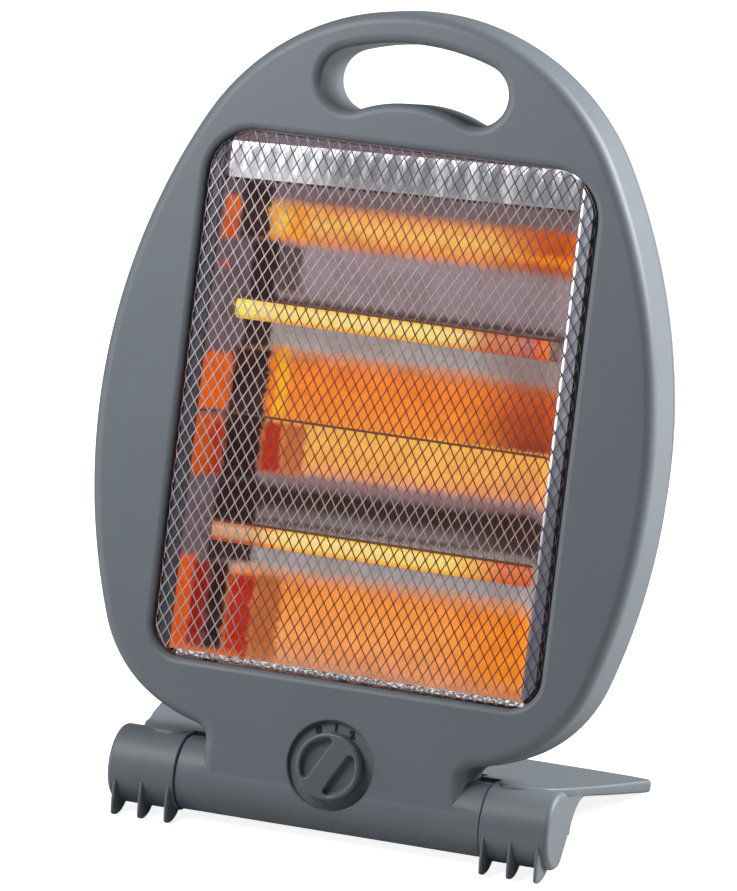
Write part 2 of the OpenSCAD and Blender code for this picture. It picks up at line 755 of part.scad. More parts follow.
module switch_nut() color(bright_steel) posed() translate([0, 0, knob_h]) difference() {
    translate([0, dish_floor_y - 1.8, 0]) rotate([-90, 0, 0]) cylinder(1.8, 7, 7, $fn = 6);
    bar_y(dish_floor_y - 3, dish_floor_y + 1, switch_neck_r);
}

module switch_spindle() color(bright_steel) posed() translate([0, 0, knob_h]) difference() {
    bar_y(spindle_tip, switch_y + 11, spindle_r);
    rotate([0, knob_turn, 0]) translate([1.6, spindle_tip - 1, -5]) cube([5, 5, 10]);
}

// One of the two finger hollows beside the grip rib
module finger_hollow() deep(knob_y - 1, knob_y + hollow_depth) intersection() {
    circle(hollow_r);
    translate([grip_rib / 2, -10.5]) square([12, 21]);
}

module knob() color(plastic) posed() translate([0, 0, knob_h]) rotate([0, knob_turn, 0]) difference() {
    union() {
        bar_y(knob_y + 1, knob_back, knob_r);
        translate([0, knob_y, 0]) rotate([-90, 0, 0]) cylinder(1 + fine, knob_r - 1, knob_r);
    }
    for (s = [-1, 1]) mirror([s < 0 ? 1 : 0, 0, 0]) finger_hollow();
    bar_y(knob_back - knob_cavity, knob_back + 1, knob_r - 1.6);
    difference() {
        bar_y(spindle_tip, dish_floor_y + 1, spindle_r);
        translate([1.6, spindle_tip - 1, -5]) cube([5, 5, 10]);
    }
}

// ---- safety and wiring -------------------------------------------------

case_at = [24, -5, 26];
case_size = [15, back_y - wall + 5, 23];
case_wall = 1.5;
pendulum_pivot = [31.5, 6.5, 44];
pendulum_arm = 10;
weight_r = 4;

module thermal_cutout() color(dark_steel) posed() translate([38, trough_y + sheet / 2, 123]) {
    bar_y(0, 6, 7.5);
    translate([-12, 0, -4]) cube([24, 1, 8]);
    for (s = [-1, 1]) translate([s * 3 - 0.4, 5, -1.6]) cube([0.8, 5.2, 3.2]);
}

module terminal_block() color(white_ceramic) posed() translate([-31, barrel_r - wall, 32]) difference() {
    translate([-14, -14, -6.5]) cube([28, 14 + back_y - barrel_r, 13]);
    for (x = [-9, 0, 9]) translate([x, -7, 0]) {
        cylinder(20, 1.9, 1.9, center = true);
        translate([0, -8, 0]) bar_y(0, 5, 2.4);
    }
}

module tip_switch_case() color(black_plastic) posed() difference() {
    translate(case_at) cube(case_size);
    translate(case_at + case_wall * [1, 1, 1]) cube(case_size - 2 * case_wall * [1, 1, 1]);
    translate([0, pendulum_pivot.y, pendulum_pivot.z]) bar_x(0, 2 * pendulum_pivot.x, 1.2);
}

module tip_switch_pin() color(bright_steel) posed()
    translate([case_at.x, pendulum_pivot.y, pendulum_pivot.z]) bar_x(0, case_size.x, 1.2);

// Hangs straight down whatever the lean; its swing opens the circuit
module tip_pendulum() color(bright_steel) posed()
    translate(pendulum_pivot) rotate([lean, 0, 0]) difference() {
        union() {
            bar_x(-2.5, 2.5, 3);
            translate([-2.5, -1.5, -pendulum_arm]) cube([5, 3, pendulum_arm]);
            translate([0, 0, -pendulum_arm]) bar_x(-4, 4, weight_r);
        }
        bar_x(-10, 10, 1.25);
    }

lead_r = 1.1;
cap_lead = cap_end - 2;
tab_y = switch_y + 20;
tab_z = knob_h + 6.8;
module lead_upper() color(white_ceramic) posed()
    lead([[cap_lead, tube_y, tube_high], [cap_lead + 4, tube_y, tube_high], [113, 6, 216], [113, 6, 112],
          [105, 6, 98], [104, 7, 58], [60, 6, 54], [17, 5, 53], [9, tab_y, tab_z + 9], [9, tab_y, tab_z]], lead_r);
module lead_lower() color(white_ceramic) posed()
    lead([[cap_lead, tube_y, tube_low], [cap_lead + 4, tube_y, tube_low], [111, -1, 108], [105, -3, 98],
          [104, -2, 58], [60, -3, 54], [17, -2, 52], [0, tab_y, tab_z + 12],
          [0, tab_y, tab_z]], lead_r);
module lead_link() color(white_ceramic) posed()
    lead([[-cap_lead, tube_y, tube_high], [-cap_lead - 4, tube_y, tube_high], [-113, 6, 216],
          [-113, 6, 130], [-cap_lead - 4, tube_y, tube_low], [-cap_lead, tube_y, tube_low]], lead_r);

stand();
pivot_pin_left();
pivot_pin_right();
friction_washer_left();
friction_washer_right();
front_shell();
rear_shell();
barrel_bush_left();
barrel_bush_right();
guard_mesh();
reflector();
reflector_end_left();
reflector_end_right();
fluted_strip();
quartz_tube_upper();
quartz_tube_lower();
heating_coil_upper();
heating_coil_lower();
tube_caps_upper();
tube_caps_lower();
tube_bracket_left();
tube_bracket_right();
switch_body();
switch_nut();
switch_spindle();
knob();
thermal_cutout();
terminal_block();
tip_switch_case();
tip_switch_pin();
tip_pendulum();
lead_upper();
lead_lower();
lead_link();
cord_grommet();
shell_screws();
reflector_screws();
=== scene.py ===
import json
import math

import bmesh
import bpy
from mathutils import Matrix, Vector


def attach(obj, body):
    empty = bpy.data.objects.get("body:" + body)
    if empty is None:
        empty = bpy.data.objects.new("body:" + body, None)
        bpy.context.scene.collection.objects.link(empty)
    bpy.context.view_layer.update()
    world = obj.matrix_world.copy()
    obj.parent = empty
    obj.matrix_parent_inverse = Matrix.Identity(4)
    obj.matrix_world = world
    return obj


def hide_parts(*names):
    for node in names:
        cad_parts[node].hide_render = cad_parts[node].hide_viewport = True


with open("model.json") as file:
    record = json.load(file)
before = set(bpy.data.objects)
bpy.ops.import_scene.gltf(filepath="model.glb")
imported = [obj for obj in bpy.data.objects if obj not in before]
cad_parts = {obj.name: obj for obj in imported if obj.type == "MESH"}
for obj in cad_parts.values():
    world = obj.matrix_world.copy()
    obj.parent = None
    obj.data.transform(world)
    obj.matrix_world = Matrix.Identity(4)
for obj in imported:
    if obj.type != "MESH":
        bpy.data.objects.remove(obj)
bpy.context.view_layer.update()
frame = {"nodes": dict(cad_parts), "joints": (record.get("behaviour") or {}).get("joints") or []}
scene = bpy.context.scene
scene.view_settings.view_transform = "Standard"

# The body is drawn in its own millimetres, as the solids are: x across, y from front to back, z up along the
# body, from the middle of the tilt axis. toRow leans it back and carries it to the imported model's place.
mm = 0.001
joints = {joint["name"]: joint for joint in frame["joints"]}
lean = math.asin(joints["knob_turn"]["axis"][2])
axle = Vector(joints["tilt"]["pos_m"])
toRow = Matrix.Translation(axle) @ Matrix.Rotation(-lean, 4, "X") @ Matrix.Scale(mm, 4)


# ---- shader helpers

class Wire:  # a shader socket that takes part in Python sums
    def __init__(self, finish, socket):
        self.finish, self.socket = finish, socket

    def sum(self, operation, first, second=0.0):
        return self.finish.add("Math", {"operation": operation}, {0: first, 1: second})

    def __add__(self, other):
        return self.sum("ADD", self, other)

    def __radd__(self, other):
        return self.sum("ADD", other, self)

    def __sub__(self, other):
        return self.sum("SUBTRACT", self, other)

    def __rsub__(self, other):
        return self.sum("SUBTRACT", other, self)

    def __mul__(self, other):
        return self.sum("MULTIPLY", self, other)

    def __rmul__(self, other):
        return self.sum("MULTIPLY", other, self)

    def __truediv__(self, other):
        return self.sum("DIVIDE", self, other)

    def __abs__(self):
        return self.sum("ABSOLUTE", self)

    def above(self, level, soft):  # 0 below a level and 1 above it, fading over soft
        return self.finish.add("MapRange", {"interpolation_type": "SMOOTHSTEP"},
                               {0: self, 1: level - soft / 2, 2: level + soft / 2})

    def below(self, level, soft):
        return 1 - self.above(level, soft)

    def band(self, low, high, soft):  # 1 between low and high
        return self.above(low, soft) * self.below(high, soft)

    def around(self, middle, spread):  # noise from 0 to 1, spread evenly about a value
        return middle + (self - 0.5) * spread


def rgb(red, green, blue):  # a colour as it looks, 0 to 255, turned into shader values
    def linear(value):
        value /= 255
        return value / 12.92 if value <= 0.04045 else ((value + 0.055) / 1.055) ** 2.4
    return linear(red), linear(green), linear(blue), 1.0


class Finish:  # one material, and the one way to add a node to it
    def __init__(self, name, **sockets):
        self.material = bpy.data.materials.new(name)
        self.material.use_nodes = True
        self.tree = self.material.node_tree
        self.shader = self.tree.nodes["Principled BSDF"]
        self.feed(self.shader, {socket.replace("_", " "): value for socket, value in sockets.items()})

    def feed(self, node, values):
        for name, value in values.items():
            if isinstance(value, Wire):
                self.tree.links.new(value.socket, node.inputs[name])
            else:
                node.inputs[name].default_value = value

    def add(self, kind, settings=None, inputs=None, out=0):
        node = self.tree.nodes.new("ShaderNode" + kind)
        for name, value in (settings or {}).items():
            if name != "stops":
                setattr(node, name, value)
                continue
            elements = node.color_ramp.elements
            while len(elements) < len(value):
                elements.new(1)
            for element, (place, colour) in zip(elements, value):
                element.position, element.color = place, colour
        self.feed(node, inputs or {})
        return Wire(self, node.outputs[out])

    def mix(self, amount, first, second, how="MIX"):
        return self.add("Mix", {"data_type": "RGBA", "blend_type": how},
                        {0: amount, 6: first, 7: second}, out=2)

    def between(self, amount, pair):  # from the first to the second of two colours as they look
        return self.mix(amount, rgb(*pair[0]), rgb(*pair[1]))

    def place(self):  # where on the object a point lies, in metres
        return self.add("TexCoord", out="Object")

    def along(self, way, start=0.0):  # distance along a direction, in millimetres
        dot = self.add("VectorMath", {"operation": "DOT_PRODUCT"},
                       {0: self.place(), 1: Vector(way)}, out="Value")
        return dot * 1000 - start

    def across(self):  # distance to the right of the body's middle
        return self.along((1, 0, 0))

    def behind(self):  # distance behind the tilt axis, square to the body's face
        return self.along(backBody, backBodyStart)

    def up(self):  # height over the tilt axis, along the body
        return self.along(upBody, upBodyStart)

    def sight(self):  # how far right a point lies as the troughs are seen from a little to the right
        return self.across() + self.behind() * sightSlope

    def ramp(self, amount, low, high, bands):  # colours along a length, given as (place, red, green, blue)
        stops = [((place - low) / (high - low), rgb(*colour)) for place, *colour in bands]
        return self.add("ValToRGB", {"stops": stops}, {0: (amount - low) / (high - low)})

    def patch(self, colour, mask, over):
        return self.mix(mask, colour, rgb(*over))

    def noise(self, size, detail=2.0, rough=0.5, stretch=(1, 1, 1)):  # size of a blotch, in millimetres
        spread = self.add("VectorMath", {"operation": "MULTIPLY"},
                          {0: self.place(), 1: [1000 / size / factor for factor in stretch]})
        return self.add("TexNoise", None, {"Vector": spread, "Scale": 1.0, "Detail": detail,
                                           "Roughness": rough}, out="Fac")

    def bump(self, height, strength, depth):
        self.feed(self.shader, {"Normal": self.add("Bump", None, {
            "Strength": strength, "Distance": depth * mm, "Height": height})})


upBody = (0, math.sin(lean), math.cos(lean))       # the body's own Z in the row frame
upBodyStart = (Vector(upBody) @ axle) / mm         # its value at the tilt axis
backBody = (0, math.cos(lean), -math.sin(lean))    # the body's own Y, and its value at the tilt axis
backBodyStart = (Vector(backBody) @ axle) / mm
sightSlope = 0.35                                  # how far right the camera sees each millimetre of depth

materials = {}


def finishOf(name, **sockets):
    materials[name] = Finish(name, **sockets)
    return materials[name]


# ---- mesh helpers

def arcRun(arcs, start, head, grow, chord):  # points along tangent arcs; an arc is (radius, turn in degrees)
    points, corner = [], Vector(start)
    for radius, turn in arcs:
        side = 1 if radius > 0 else -1
        reach = abs(radius) + side * grow
        steps = math.ceil(max(turn / 5, abs(radius) * math.radians(turn) / chord))
        centre = corner - side * reach * Vector((math.sin(math.radians(head)), math.cos(math.radians(head))))
        for k in range(1, steps + 1):
            angle = math.radians(head + side * turn * k / steps)
            corner = centre + side * reach * Vector((math.sin(angle), math.cos(angle)))
            points.append(corner)
        head += side * turn
    return points


def bothSides(half):
    return half + [Vector((-p.x, p.y)) for p in reversed(half) if abs(p.x) > 0.01]


def solid(name, points, faces):
    mesh = bpy.data.meshes.new(name)
    mesh.from_pydata([Vector(p) for p in points], [], faces)
    shape = bmesh.new()
    shape.from_mesh(mesh)
    bmesh.ops.recalc_face_normals(shape, faces=shape.faces)
    shape.to_mesh(mesh)
    shape.free()
    part = bpy.data.objects.new(name, mesh)
    scene.collection.objects.link(part)
    return part


def ringed(name, rings):  # a closed solid through rings of as many points each
    count = len(rings[0])
    points = [p for ring in rings for p in ring]
    faces = [list(range(count)), list(range(len(points) - count, len(points)))]
    for j in range(len(rings) - 1):
        for i in range(count):
            k = (i + 1) % count
            faces.append([j * count + i, j * count + k, (j + 1) * count + k, (j + 1) * count + i])
    return solid(name, points, faces)


def loft(name, rings):  # a ring is (depth, outline in x and z)
    return ringed(name, [[(p[0], depth, p[1]) for p in line] for depth, line in rings])


def deep(name, line, low, high):  # an outline in x and z, from y low to y high
    return loft(name, [(low, line), (high, line)])


def circle(radius, count, centre=(0, 0)):
    turns = [math.tau * k / count for k in range(count)]
    return [(centre[0] + radius * math.sin(turn), centre[1] + radius * math.cos(turn)) for turn in turns]


def turnedY(name, profile, centre, count=96):  # profile of (depth, radius) turned about a line along y
    return loft(name, [(depth, circle(radius, count, centre)) for depth, radius in profile])


def turnedX(name, profile, centre=(0, 0), count=96):  # profile of (x, radius) turned about a line along x
    return ringed(name, [[(x, centre[0] + a, centre[1] + b) for a, b in circle(radius, count)]
                         for x, radius in profile])


def rodX(name, low, high, radius, centre=(0, 0), count=96):  # a cylinder from x low to x high
    return turnedX(name, [(low, radius), (high, radius)], centre, count)


def rodY(name, low, high, radius, centre, count):  # a cylinder from y low to y high
    return turnedY(name, [(low, radius), (high, radius)], centre, count)


def prism(name, line, low, high):  # an outline in y and z, from x low to x high
    return ringed(name, [[(x, p[0], p[1]) for p in line] for x in (low, high)])


def shrunk(line, inset):  # an outline drawn clockwise in x and y, moved inwards
    points, moved = [Vector(p) for p in line], []
    for before, point, after in zip(points[-1:] + points[:-1], points, points[1:] + points[:1]):
        first, second = (point - before).normalized(), (after - point).normalized()
        inward = Vector((first.y, -first.x)) + Vector((second.y, -second.x))
        inward.normalize()
        moved.append(point + inward * inset / max(0.6, inward.dot(Vector((first.y, -first.x)))))
    return moved


def block(name, low, high):
    line = [(low[0], low[2]), (low[0], high[2]), (high[0], high[2]), (high[0], low[2])]
    return deep(name, line, low[1], high[1])


def combine(operation, base, tools):
    for tool in tools:
        step = base.modifiers.new("step", "BOOLEAN")
        step.object, step.operation, step.solver = tool, operation, "MANIFOLD"
    mesh = bpy.data.meshes.new_from_object(base.evaluated_get(bpy.context.evaluated_depsgraph_get()))
    base.modifiers.clear()
    base.data = mesh
    for tool in tools:
        bpy.data.objects.remove(tool)
    return base


def join(base, *parts):
    return combine("UNION", base, parts)


def cut(base, *tools):
    return combine("DIFFERENCE", base, tools)


def common(base, *parts):  # what they have in common
    return combine("INTERSECT", base, parts)


def settle(part, body, finish, replaces=(), sharp=32, matrix=None):  # to the row frame, smooth, dressed
    shape = bmesh.new()
    shape.from_mesh(part.data)
    bmesh.ops.remove_doubles(shape, verts=shape.verts, dist=0.002)
    bmesh.ops.dissolve_limit(shape, angle_limit=0.0004, verts=shape.verts, edges=shape.edges)
    for face in shape.faces:
        face.smooth = True
    for edge in shape.edges:
        edge.smooth = len(edge.link_faces) == 2 and edge.calc_face_angle() < math.radians(sharp)
    shape.transform(matrix or toRow)
    shape.to_mesh(part.data)
    shape.free()
    part.data.materials.clear()
    part.data.materials.append(materials[finish].material)
    even = part.modifiers.new("even", "WEIGHTED_NORMAL")
    even.keep_sharp = True
    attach(part, body)
    if replaces:
        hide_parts(*replaces)
    return part


def quarter(depth, radius, way, steps):  # (depth, inset) along a quarter round, from a face inwards
    return [(depth + way * radius * (1 - math.cos(math.pi / 2 * k / steps)),
             radius * (1 - math.sin(math.pi / 2 * k / steps))) for k in range(steps + 1)]


def roll(depth, radius, steps):  # (depth, inset) along a quarter round, outwards to a back face
    return [(depth - radius * (1 - math.sin(math.pi / 2 * k / steps)),
             radius * (1 - math.cos(math.pi / 2 * k / steps))) for k in range(steps + 1)]


# ---- the body's outlines

body = {"crown": 380.7, "arcs": [(119.3, 61.5), (308.7, 47.6), (66.3, 43), (96.3, 14), (-6, 76.1)],
        "gripTop": 364.4, "gripArcs": [(115, 18.8), (15, 184.955), (-65, 23.755)], "gripSoft": 4.6,
        "winHalf": 99.3, "winLow": 56.2, "winHigh": 314.5, "winTopR": 24, "winLowR": 16, "winSoft": 3.5,
        "face": -17.6, "part": 11, "back": 22, "hood": 42, "wall": 2.6, "rim": 6, "draft": 1, "lip": 7,
        "seam": 0.45, "seamHair": 0.03, "barrelR": 18, "barrelHalf": 78, "bushHole": (58, 80, 9),
        "neckFoot": 2, "flankIn": 6, "flankTop": 200, "flankFade": 140, "chord": 3.0, "gripChord": 1.5}


def egg(grow):
    top = Vector((0, body["crown"] + grow))
    half = arcRun(body["arcs"], top, 0, grow, body["chord"])
    return bothSides([top] + half + [Vector((half[-1].x, body["neckFoot"]))])


def rearEgg(y, grow):  # behind the widest ring the low flanks draw in
    drawn = body["flankIn"] * max(0, y - body["part"]) / (body["back"] - body["part"])
    return [a.lerp(b, min(1, max(0, (body["flankTop"] - a.y) / body["flankFade"])))
            for a, b in zip(egg(grow), egg(grow - drawn))]


def grip(grow):
    top = Vector((0, body["gripTop"] + grow))
    return bothSides([top] + arcRun(body["gripArcs"], top, 0, grow, body["gripChord"]))


def rounded(half, low, high, topR, lowR, grow, steps=12):
    corners = [(half - topR, high - topR, topR, 0), (half - lowR, low + lowR, lowR, 90),
               (lowR - half, low + lowR, lowR, 180), (topR - half, high - topR, topR, 270)]
    line = []
    for x, z, radius, start in corners:
        for k in range(steps + 1):
            angle = math.radians(start + 90 * k / steps)
            line.append((x + (radius + grow) * math.sin(angle), z + (radius + grow) * math.cos(angle)))
    return line


def window(grow):
    return rounded(body["winHalf"], body["winLow"], body["winHigh"], body["winTopR"], body["winLowR"], grow)


# ---- finishes

shellLook = {"colour": rgb(97, 104, 110), "roughness": 0.5, "refraction": 1.46, "grain": 0.35,
             "grainDepth": 0.02, "grainRough": 0.12, "cloud": 30, "cloudRough": 0.08,
             "clouding": (0.93, 1.05)}


def toned(colour, factor):  # a shader colour made darker or lighter
    return tuple(value * factor for value in colour[:3]) + (1,)


def plasticFinish(name, colour, roughness):
    plastic = finishOf(name, IOR=shellLook["refraction"])
    cloud = plastic.noise(shellLook["cloud"], 3)
    grain = plastic.noise(shellLook["grain"], 1)
    darker, lighter = [toned(colour, factor) for factor in shellLook["clouding"]]
    grained = grain.around(roughness, shellLook["grainRough"])
    plastic.feed(plastic.shader, {"Base Color": plastic.mix(cloud, darker, lighter),
                                  "Roughness": cloud.around(grained, shellLook["cloudRough"])})
    plastic.bump(grain, 0.25, shellLook["grainDepth"])


plasticFinish("shellPlastic", shellLook["colour"], shellLook["roughness"])
plasticFinish("knobPlastic", rgb(87, 93, 98), 0.42)
plasticFinish("blackPlastic", rgb(34, 34, 37), 0.45)
plasticFinish("whitePlastic", rgb(222, 219, 208), 0.5)
plasticFinish("blackRubber", rgb(26, 26, 28), 0.7)


def metalFinish(name, colour, roughness, grain, stretch):
    metal = finishOf(name, Metallic=1.0)
    streak = metal.noise(grain, 3, 0.6, stretch)
    metal.feed(metal.shader, {"Base Color": metal.mix(streak, toned(colour, 0.8), colour),
                              "Roughness": streak.around(roughness, 0.2)})
    metal.bump(streak, 0.1, 0.01)


metalFinish("zincSheet", rgb(196, 198, 202), 0.35, 0.8, (1, 1, 8))
metalFinish("turnedSteel", rgb(190, 192, 196), 0.28, 0.3, (0.2, 4, 4))
metalFinish("darkScrew", rgb(74, 74, 80), 0.4, 0.4, (1, 1, 1))

# The net's wire carries painted light and shade: dark before the glow and the bright sheet, lit before the
# dark of the troughs.
# Stops are (height up the body, red, green, blue)
wireLook = {"low": 49, "high": 322, "shift": 1.5, "middle": [
    (57, 225, 222, 222), (60, 200, 184, 178), (64, 158, 112, 102), (76, 142, 82, 74), (97, 142, 82, 76),
    (103, 160, 148, 150), (112, 165, 155, 155), (114.5, 112, 76, 72), (124, 112, 76, 72),
    (127, 182, 170, 168), (145, 190, 172, 168), (150, 160, 104, 108), (156, 146, 74, 80),
    (176, 146, 70, 78), (203, 148, 70, 76), (211, 160, 150, 150), (221, 162, 152, 152), (223, 112, 82, 76),
    (232, 112, 82, 76), (236, 186, 170, 168), (257, 186, 168, 170), (263, 150, 96, 82), (270, 150, 82, 82),
    (281, 150, 84, 82), (286, 172, 162, 162), (293, 168, 160, 162), (297, 92, 88, 94), (314, 84, 80, 86)],
    "left": (184, 176, 180), "leftEnd": -62, "leftTop": 294, "right": (92, 90, 100), "rightStart": 84,
    "rightBand": (62, 296), "fold": (126, 122, 128), "foldAt": -16, "foldShare": 0.8,
    "speck": 1.6, "specks": [(205, 200, 200), (255, 255, 255)]}


def wireFinish():
    wire = finishOf("guardWire", Metallic=0.35, Roughness=0.42)
    sight, height = wire.sight(), wire.up() - wireLook["shift"]
    # painted light and shade of the strands, by height up the body
    tone = wire.ramp(height, wireLook["low"], wireLook["high"], wireLook["middle"])
    # painted light: the strands before the dark left end are painted lit
    left = sight.below(wireLook["leftEnd"], 8) * height.below(wireLook["leftTop"], 3)
    tone = wire.patch(tone, left, wireLook["left"])
    # painted shade: the strands by the right flange are painted dark
    right = sight.above(wireLook["rightStart"], 3) * height.band(*wireLook["rightBand"], 6)
    tone = wire.patch(tone, right, wireLook["right"])
    # where the net folds back it takes a plain grey in place of the painted light and shade
    folded = wire.behind().above(wireLook["foldAt"], 0.6) * wireLook["foldShare"]
    tone = wire.patch(tone, folded, wireLook["fold"])
    specks = wire.between(wire.noise(wireLook["speck"], 2, 0.6), wireLook["specks"])
    wire.feed(wire.shader, {"Base Color": wire.mix(1.0, tone, specks, "MULTIPLY")})


wireFinish()


def smallFinishes():
    ceramic = finishOf("capCeramic", Roughness=0.65)
    ceramic.feed(ceramic.shader, {
        "Base Color": ceramic.between(ceramic.noise(2.0, 4), [(214, 207, 190), (236, 232, 220)])})
    ceramic.bump(ceramic.noise(0.5), 0.4, 0.05)
    sleeve = finishOf("leadSleeve", Roughness=0.8)
    weave = sleeve.add("TexWave", {"wave_type": "BANDS", "bands_direction": "DIAGONAL"},
                       {"Vector": sleeve.place(), "Scale": 900.0, "Distortion": 0.5}, out="Fac")
    sleeve.feed(sleeve.shader, {"Base Color": sleeve.between(weave, [(196, 190, 172), (232, 228, 214)])})
    sleeve.bump(weave, 0.5, 0.1)
    ink = finishOf("digitInk", Roughness=0.5)
    ink.feed(ink.shader, {"Base Color": ink.between(ink.noise(1.0), [(5, 5, 6), (12, 12, 14)])})


smallFinishes()


strip = {"y": -13.4, "low": 293.0, "rise": 0.032, "high": 311, "fan": 1.2, "half": 88.4, "pitch": 8.7,
         "depth": 1.1, "sheet": 0.5, "columns": 320, "rows": 14}

# The painted reflection of the glow in the polished troughs, and painted shade in its dark bands: stops of
# (height up the body, red, green, blue) mid-way and near the right end, and patches of (heights), (left and
# right as seen) and colour, later ones over earlier ones
paintedReflection = {"low": 49, "high": 322, "strength": 1.1, "tilt": 0.012, "streaks": 5, "blur": 10,
    "turnAt": 54, "turnOver": 38, "middle": [
    (56, 44, 32, 30), (59, 206, 138, 108), (63, 240, 158, 106), (75, 255, 165, 85), (90, 255, 158, 62),
    (98, 250, 148, 70), (102, 212, 156, 130), (105, 172, 164, 164), (122, 155, 148, 148), (125, 70, 50, 48),
    (127, 125, 115, 116), (131, 100, 90, 92), (134, 52, 34, 32), (141, 46, 28, 28), (144, 115, 98, 102),
    (149, 158, 134, 135), (152, 240, 165, 112), (158, 255, 180, 88), (175.5, 255, 196, 85),
    (178, 255, 150, 48), (195, 255, 138, 32), (204, 248, 132, 45), (208, 222, 142, 95),
    (212, 172, 162, 160), (229, 150, 140, 140), (232.5, 54, 32, 32), (236, 140, 124, 131),
    (259, 154, 138, 146), (263.5, 240, 146, 74), (272, 255, 200, 98), (279, 250, 170, 92),
    (284, 114, 100, 106)],
    "right": [
    (56, 44, 32, 30), (60, 228, 142, 84), (70, 255, 146, 28), (95, 250, 138, 28), (101, 225, 150, 105),
    (105, 168, 160, 160), (124, 135, 126, 126), (126, 70, 50, 48), (131, 60, 36, 30), (143, 46, 26, 22),
    (149, 155, 130, 132), (153, 240, 160, 100), (175.5, 255, 182, 72), (178, 150, 58, 20),
    (195, 192, 76, 16), (205, 192, 92, 40), (209, 152, 126, 118), (229, 140, 130, 130), (232.5, 50, 30, 30),
    (236, 132, 116, 122), (259, 146, 128, 132), (264, 192, 82, 15), (268, 255, 140, 15), (272, 200, 86, 12),
    (281, 205, 92, 22), (285, 116, 98, 100), (292, 106, 94, 98)],
    "patches": [
    ((40, 330), (-120, -77), (104, 90, 98)), ((262, 290), (-84, -69.5), (52, 36, 34)),
    ((209, 262), (-77, -62), (50, 33, 31)), ((144, 209), (-80, -60.4), (46, 29, 28)),
    ((104, 144), (-81, -58.2), (48, 31, 30)), ((40, 104), (-79, -68.5), (44, 26, 25)),
    ((237, 260), (-62, -50), (86, 68, 66)), ((263.5, 278.5), (-69, -50), (252, 168, 56)),
    ((267, 276), (-66, -58), (255, 204, 76)), ((178, 211), (-60.4, -56.5), (246, 132, 34)),
    ((178, 211), (-56.5, -50.6), (255, 180, 24)), ((149, 175.5), (-60.4, -49.5), (190, 50, 20)),
    ((149, 175.5), (-49.5, -37.9), (206, 116, 62)), ((60, 98), (-68.5, -55), (186, 38, 10)),
    ((60, 99), (-55, -41.3), (196, 108, 52)), ((271, 282), (-93, -85), (238, 106, 30)),
    ((261.4, 271), (-93.5, -85.5), (214, 84, 22)), ((247, 250.5), (-91.5, -88), (196, 82, 40)),
    ((178, 206), (-97, -80), (232, 96, 20)), ((146.5, 175.5), (-97, -80.5), (208, 82, 20)),
    ((146.5, 172), (-86, -80.5), (176, 48, 18)), ((62, 107), (-97, -86), (226, 88, 20)),
    ((62, 104), (-87, -79), (150, 30, 12)), ((59, 63), (-97, -58), (228, 112, 40))],
    "line": (175.9, 177.1), "lineLeft": -96, "lineColour": (96, 62, 44),
    "dotTurn": 2.1, "dotColour": (34, 28, 30), "seam": (-1.6, 0.6),
    "blotches": [(196, 180, 172), (255, 255, 255)], "scuffs": [(205, 202, 202), (255, 255, 255)]}


# The sheet's picture is a painted reflection of the glow, with painted shade in its dark bands, line and dots
def troughPicture(finish):  # the colour seen in the polished sheet, and the scuffs on it
    look, low, high = paintedReflection, paintedReflection["low"], paintedReflection["high"]
    streaks = finish.noise(4.0, 3, 0.7, (0.6, 1, 2.5))
    height = streaks.around(finish.up() - finish.across() * look["tilt"], look["streaks"])
    sight = finish.noise(5.0, 4, 0.7, (1, 1, 2)).around(finish.sight(), look["blur"])
    picture = finish.mix(sight.above(look["turnAt"], look["turnOver"]),
                         finish.ramp(height, low, high, look["middle"]),
                         finish.ramp(height, low, high, look["right"]))
    # patches of painted glow reflection and painted shade
    for (bottom, top), (left, right), colour in look["patches"]:
        picture = finish.patch(picture, height.band(bottom, top, 4) * sight.band(left, right, 4), colour)
    # a painted shade line along the ridge between the two troughs
    line = finish.up().band(*look["line"], 0.5) * finish.sight().above(look["lineLeft"], 1)
    picture = finish.patch(picture, line, look["lineColour"])
    # painted shade: a row of dark dots under the strip's lower edge
    dots = finish.add("Math", {"operation": "SINE"}, {0: finish.across() * look["dotTurn"]})
    seam = finish.up() - finish.across() * strip["rise"]
    seam = seam.band(strip["low"] + look["seam"][0], strip["low"] + look["seam"][1], 0.8)
    picture = finish.patch(picture, seam * dots.above(0, 0.6), look["dotColour"])
    blotch = finish.noise(11.0, 5, 0.7, (1.6, 1, 1)).above(0.5, 0.5)
    scuff = finish.noise(1.3, 4, 0.75, (1, 1, 2))
    worn = finish.mix(0.5, finish.between(blotch, look["blotches"]), finish.between(scuff, look["scuffs"]))
    return finish.mix(1.0, picture, worn, "MULTIPLY"), scuff


sheetLook = {"polish": [(34, 30, 30), (74, 68, 70)], "foot": (12, 6, 4), "footTop": 72, "roughness": 0.36,
             "roughSpread": 0.2}


def sheetFinish():
    sheet = finishOf("reflectorSheet", Metallic=0.9, Emission_Strength=paintedReflection["strength"])
    picture, scuff = troughPicture(sheet)
    polish = sheet.between(scuff, sheetLook["polish"])
    sheet.feed(sheet.shader, {
        "Base Color": sheet.mix(sheet.up().below(sheetLook["footTop"], 8), polish, rgb(*sheetLook["foot"])),
        "Roughness": scuff.around(sheetLook["roughness"], sheetLook["roughSpread"]),
        "Emission Color": picture})


# The end plates, in painted light and shade: clouded flanges in front, the left one painted in shade and the
# right one painted lit and lighter higher up, a painted highlight along the right one's fold, painted shade
# behind the shell's lip, and the painted reflection of the glow on the slanted part
endLook = {"left": [(50, 49, 56), (94, 93, 101)], "rightLow": [(98, 96, 108), (140, 138, 150)],
           "rightHigh": [(122, 124, 132), (180, 182, 190)], "highAt": 175, "ragged": 40,
           "shine": (250, 250, 250), "shineBand": (89.3, 91.3), "shineAt": 150, "flange": (40, 35, 36),
           "flangeBack": -14.4, "recessShade": (24, 20, 20), "recessShadeBand": (-11, -9), "recessShadeFrom": 89.2}


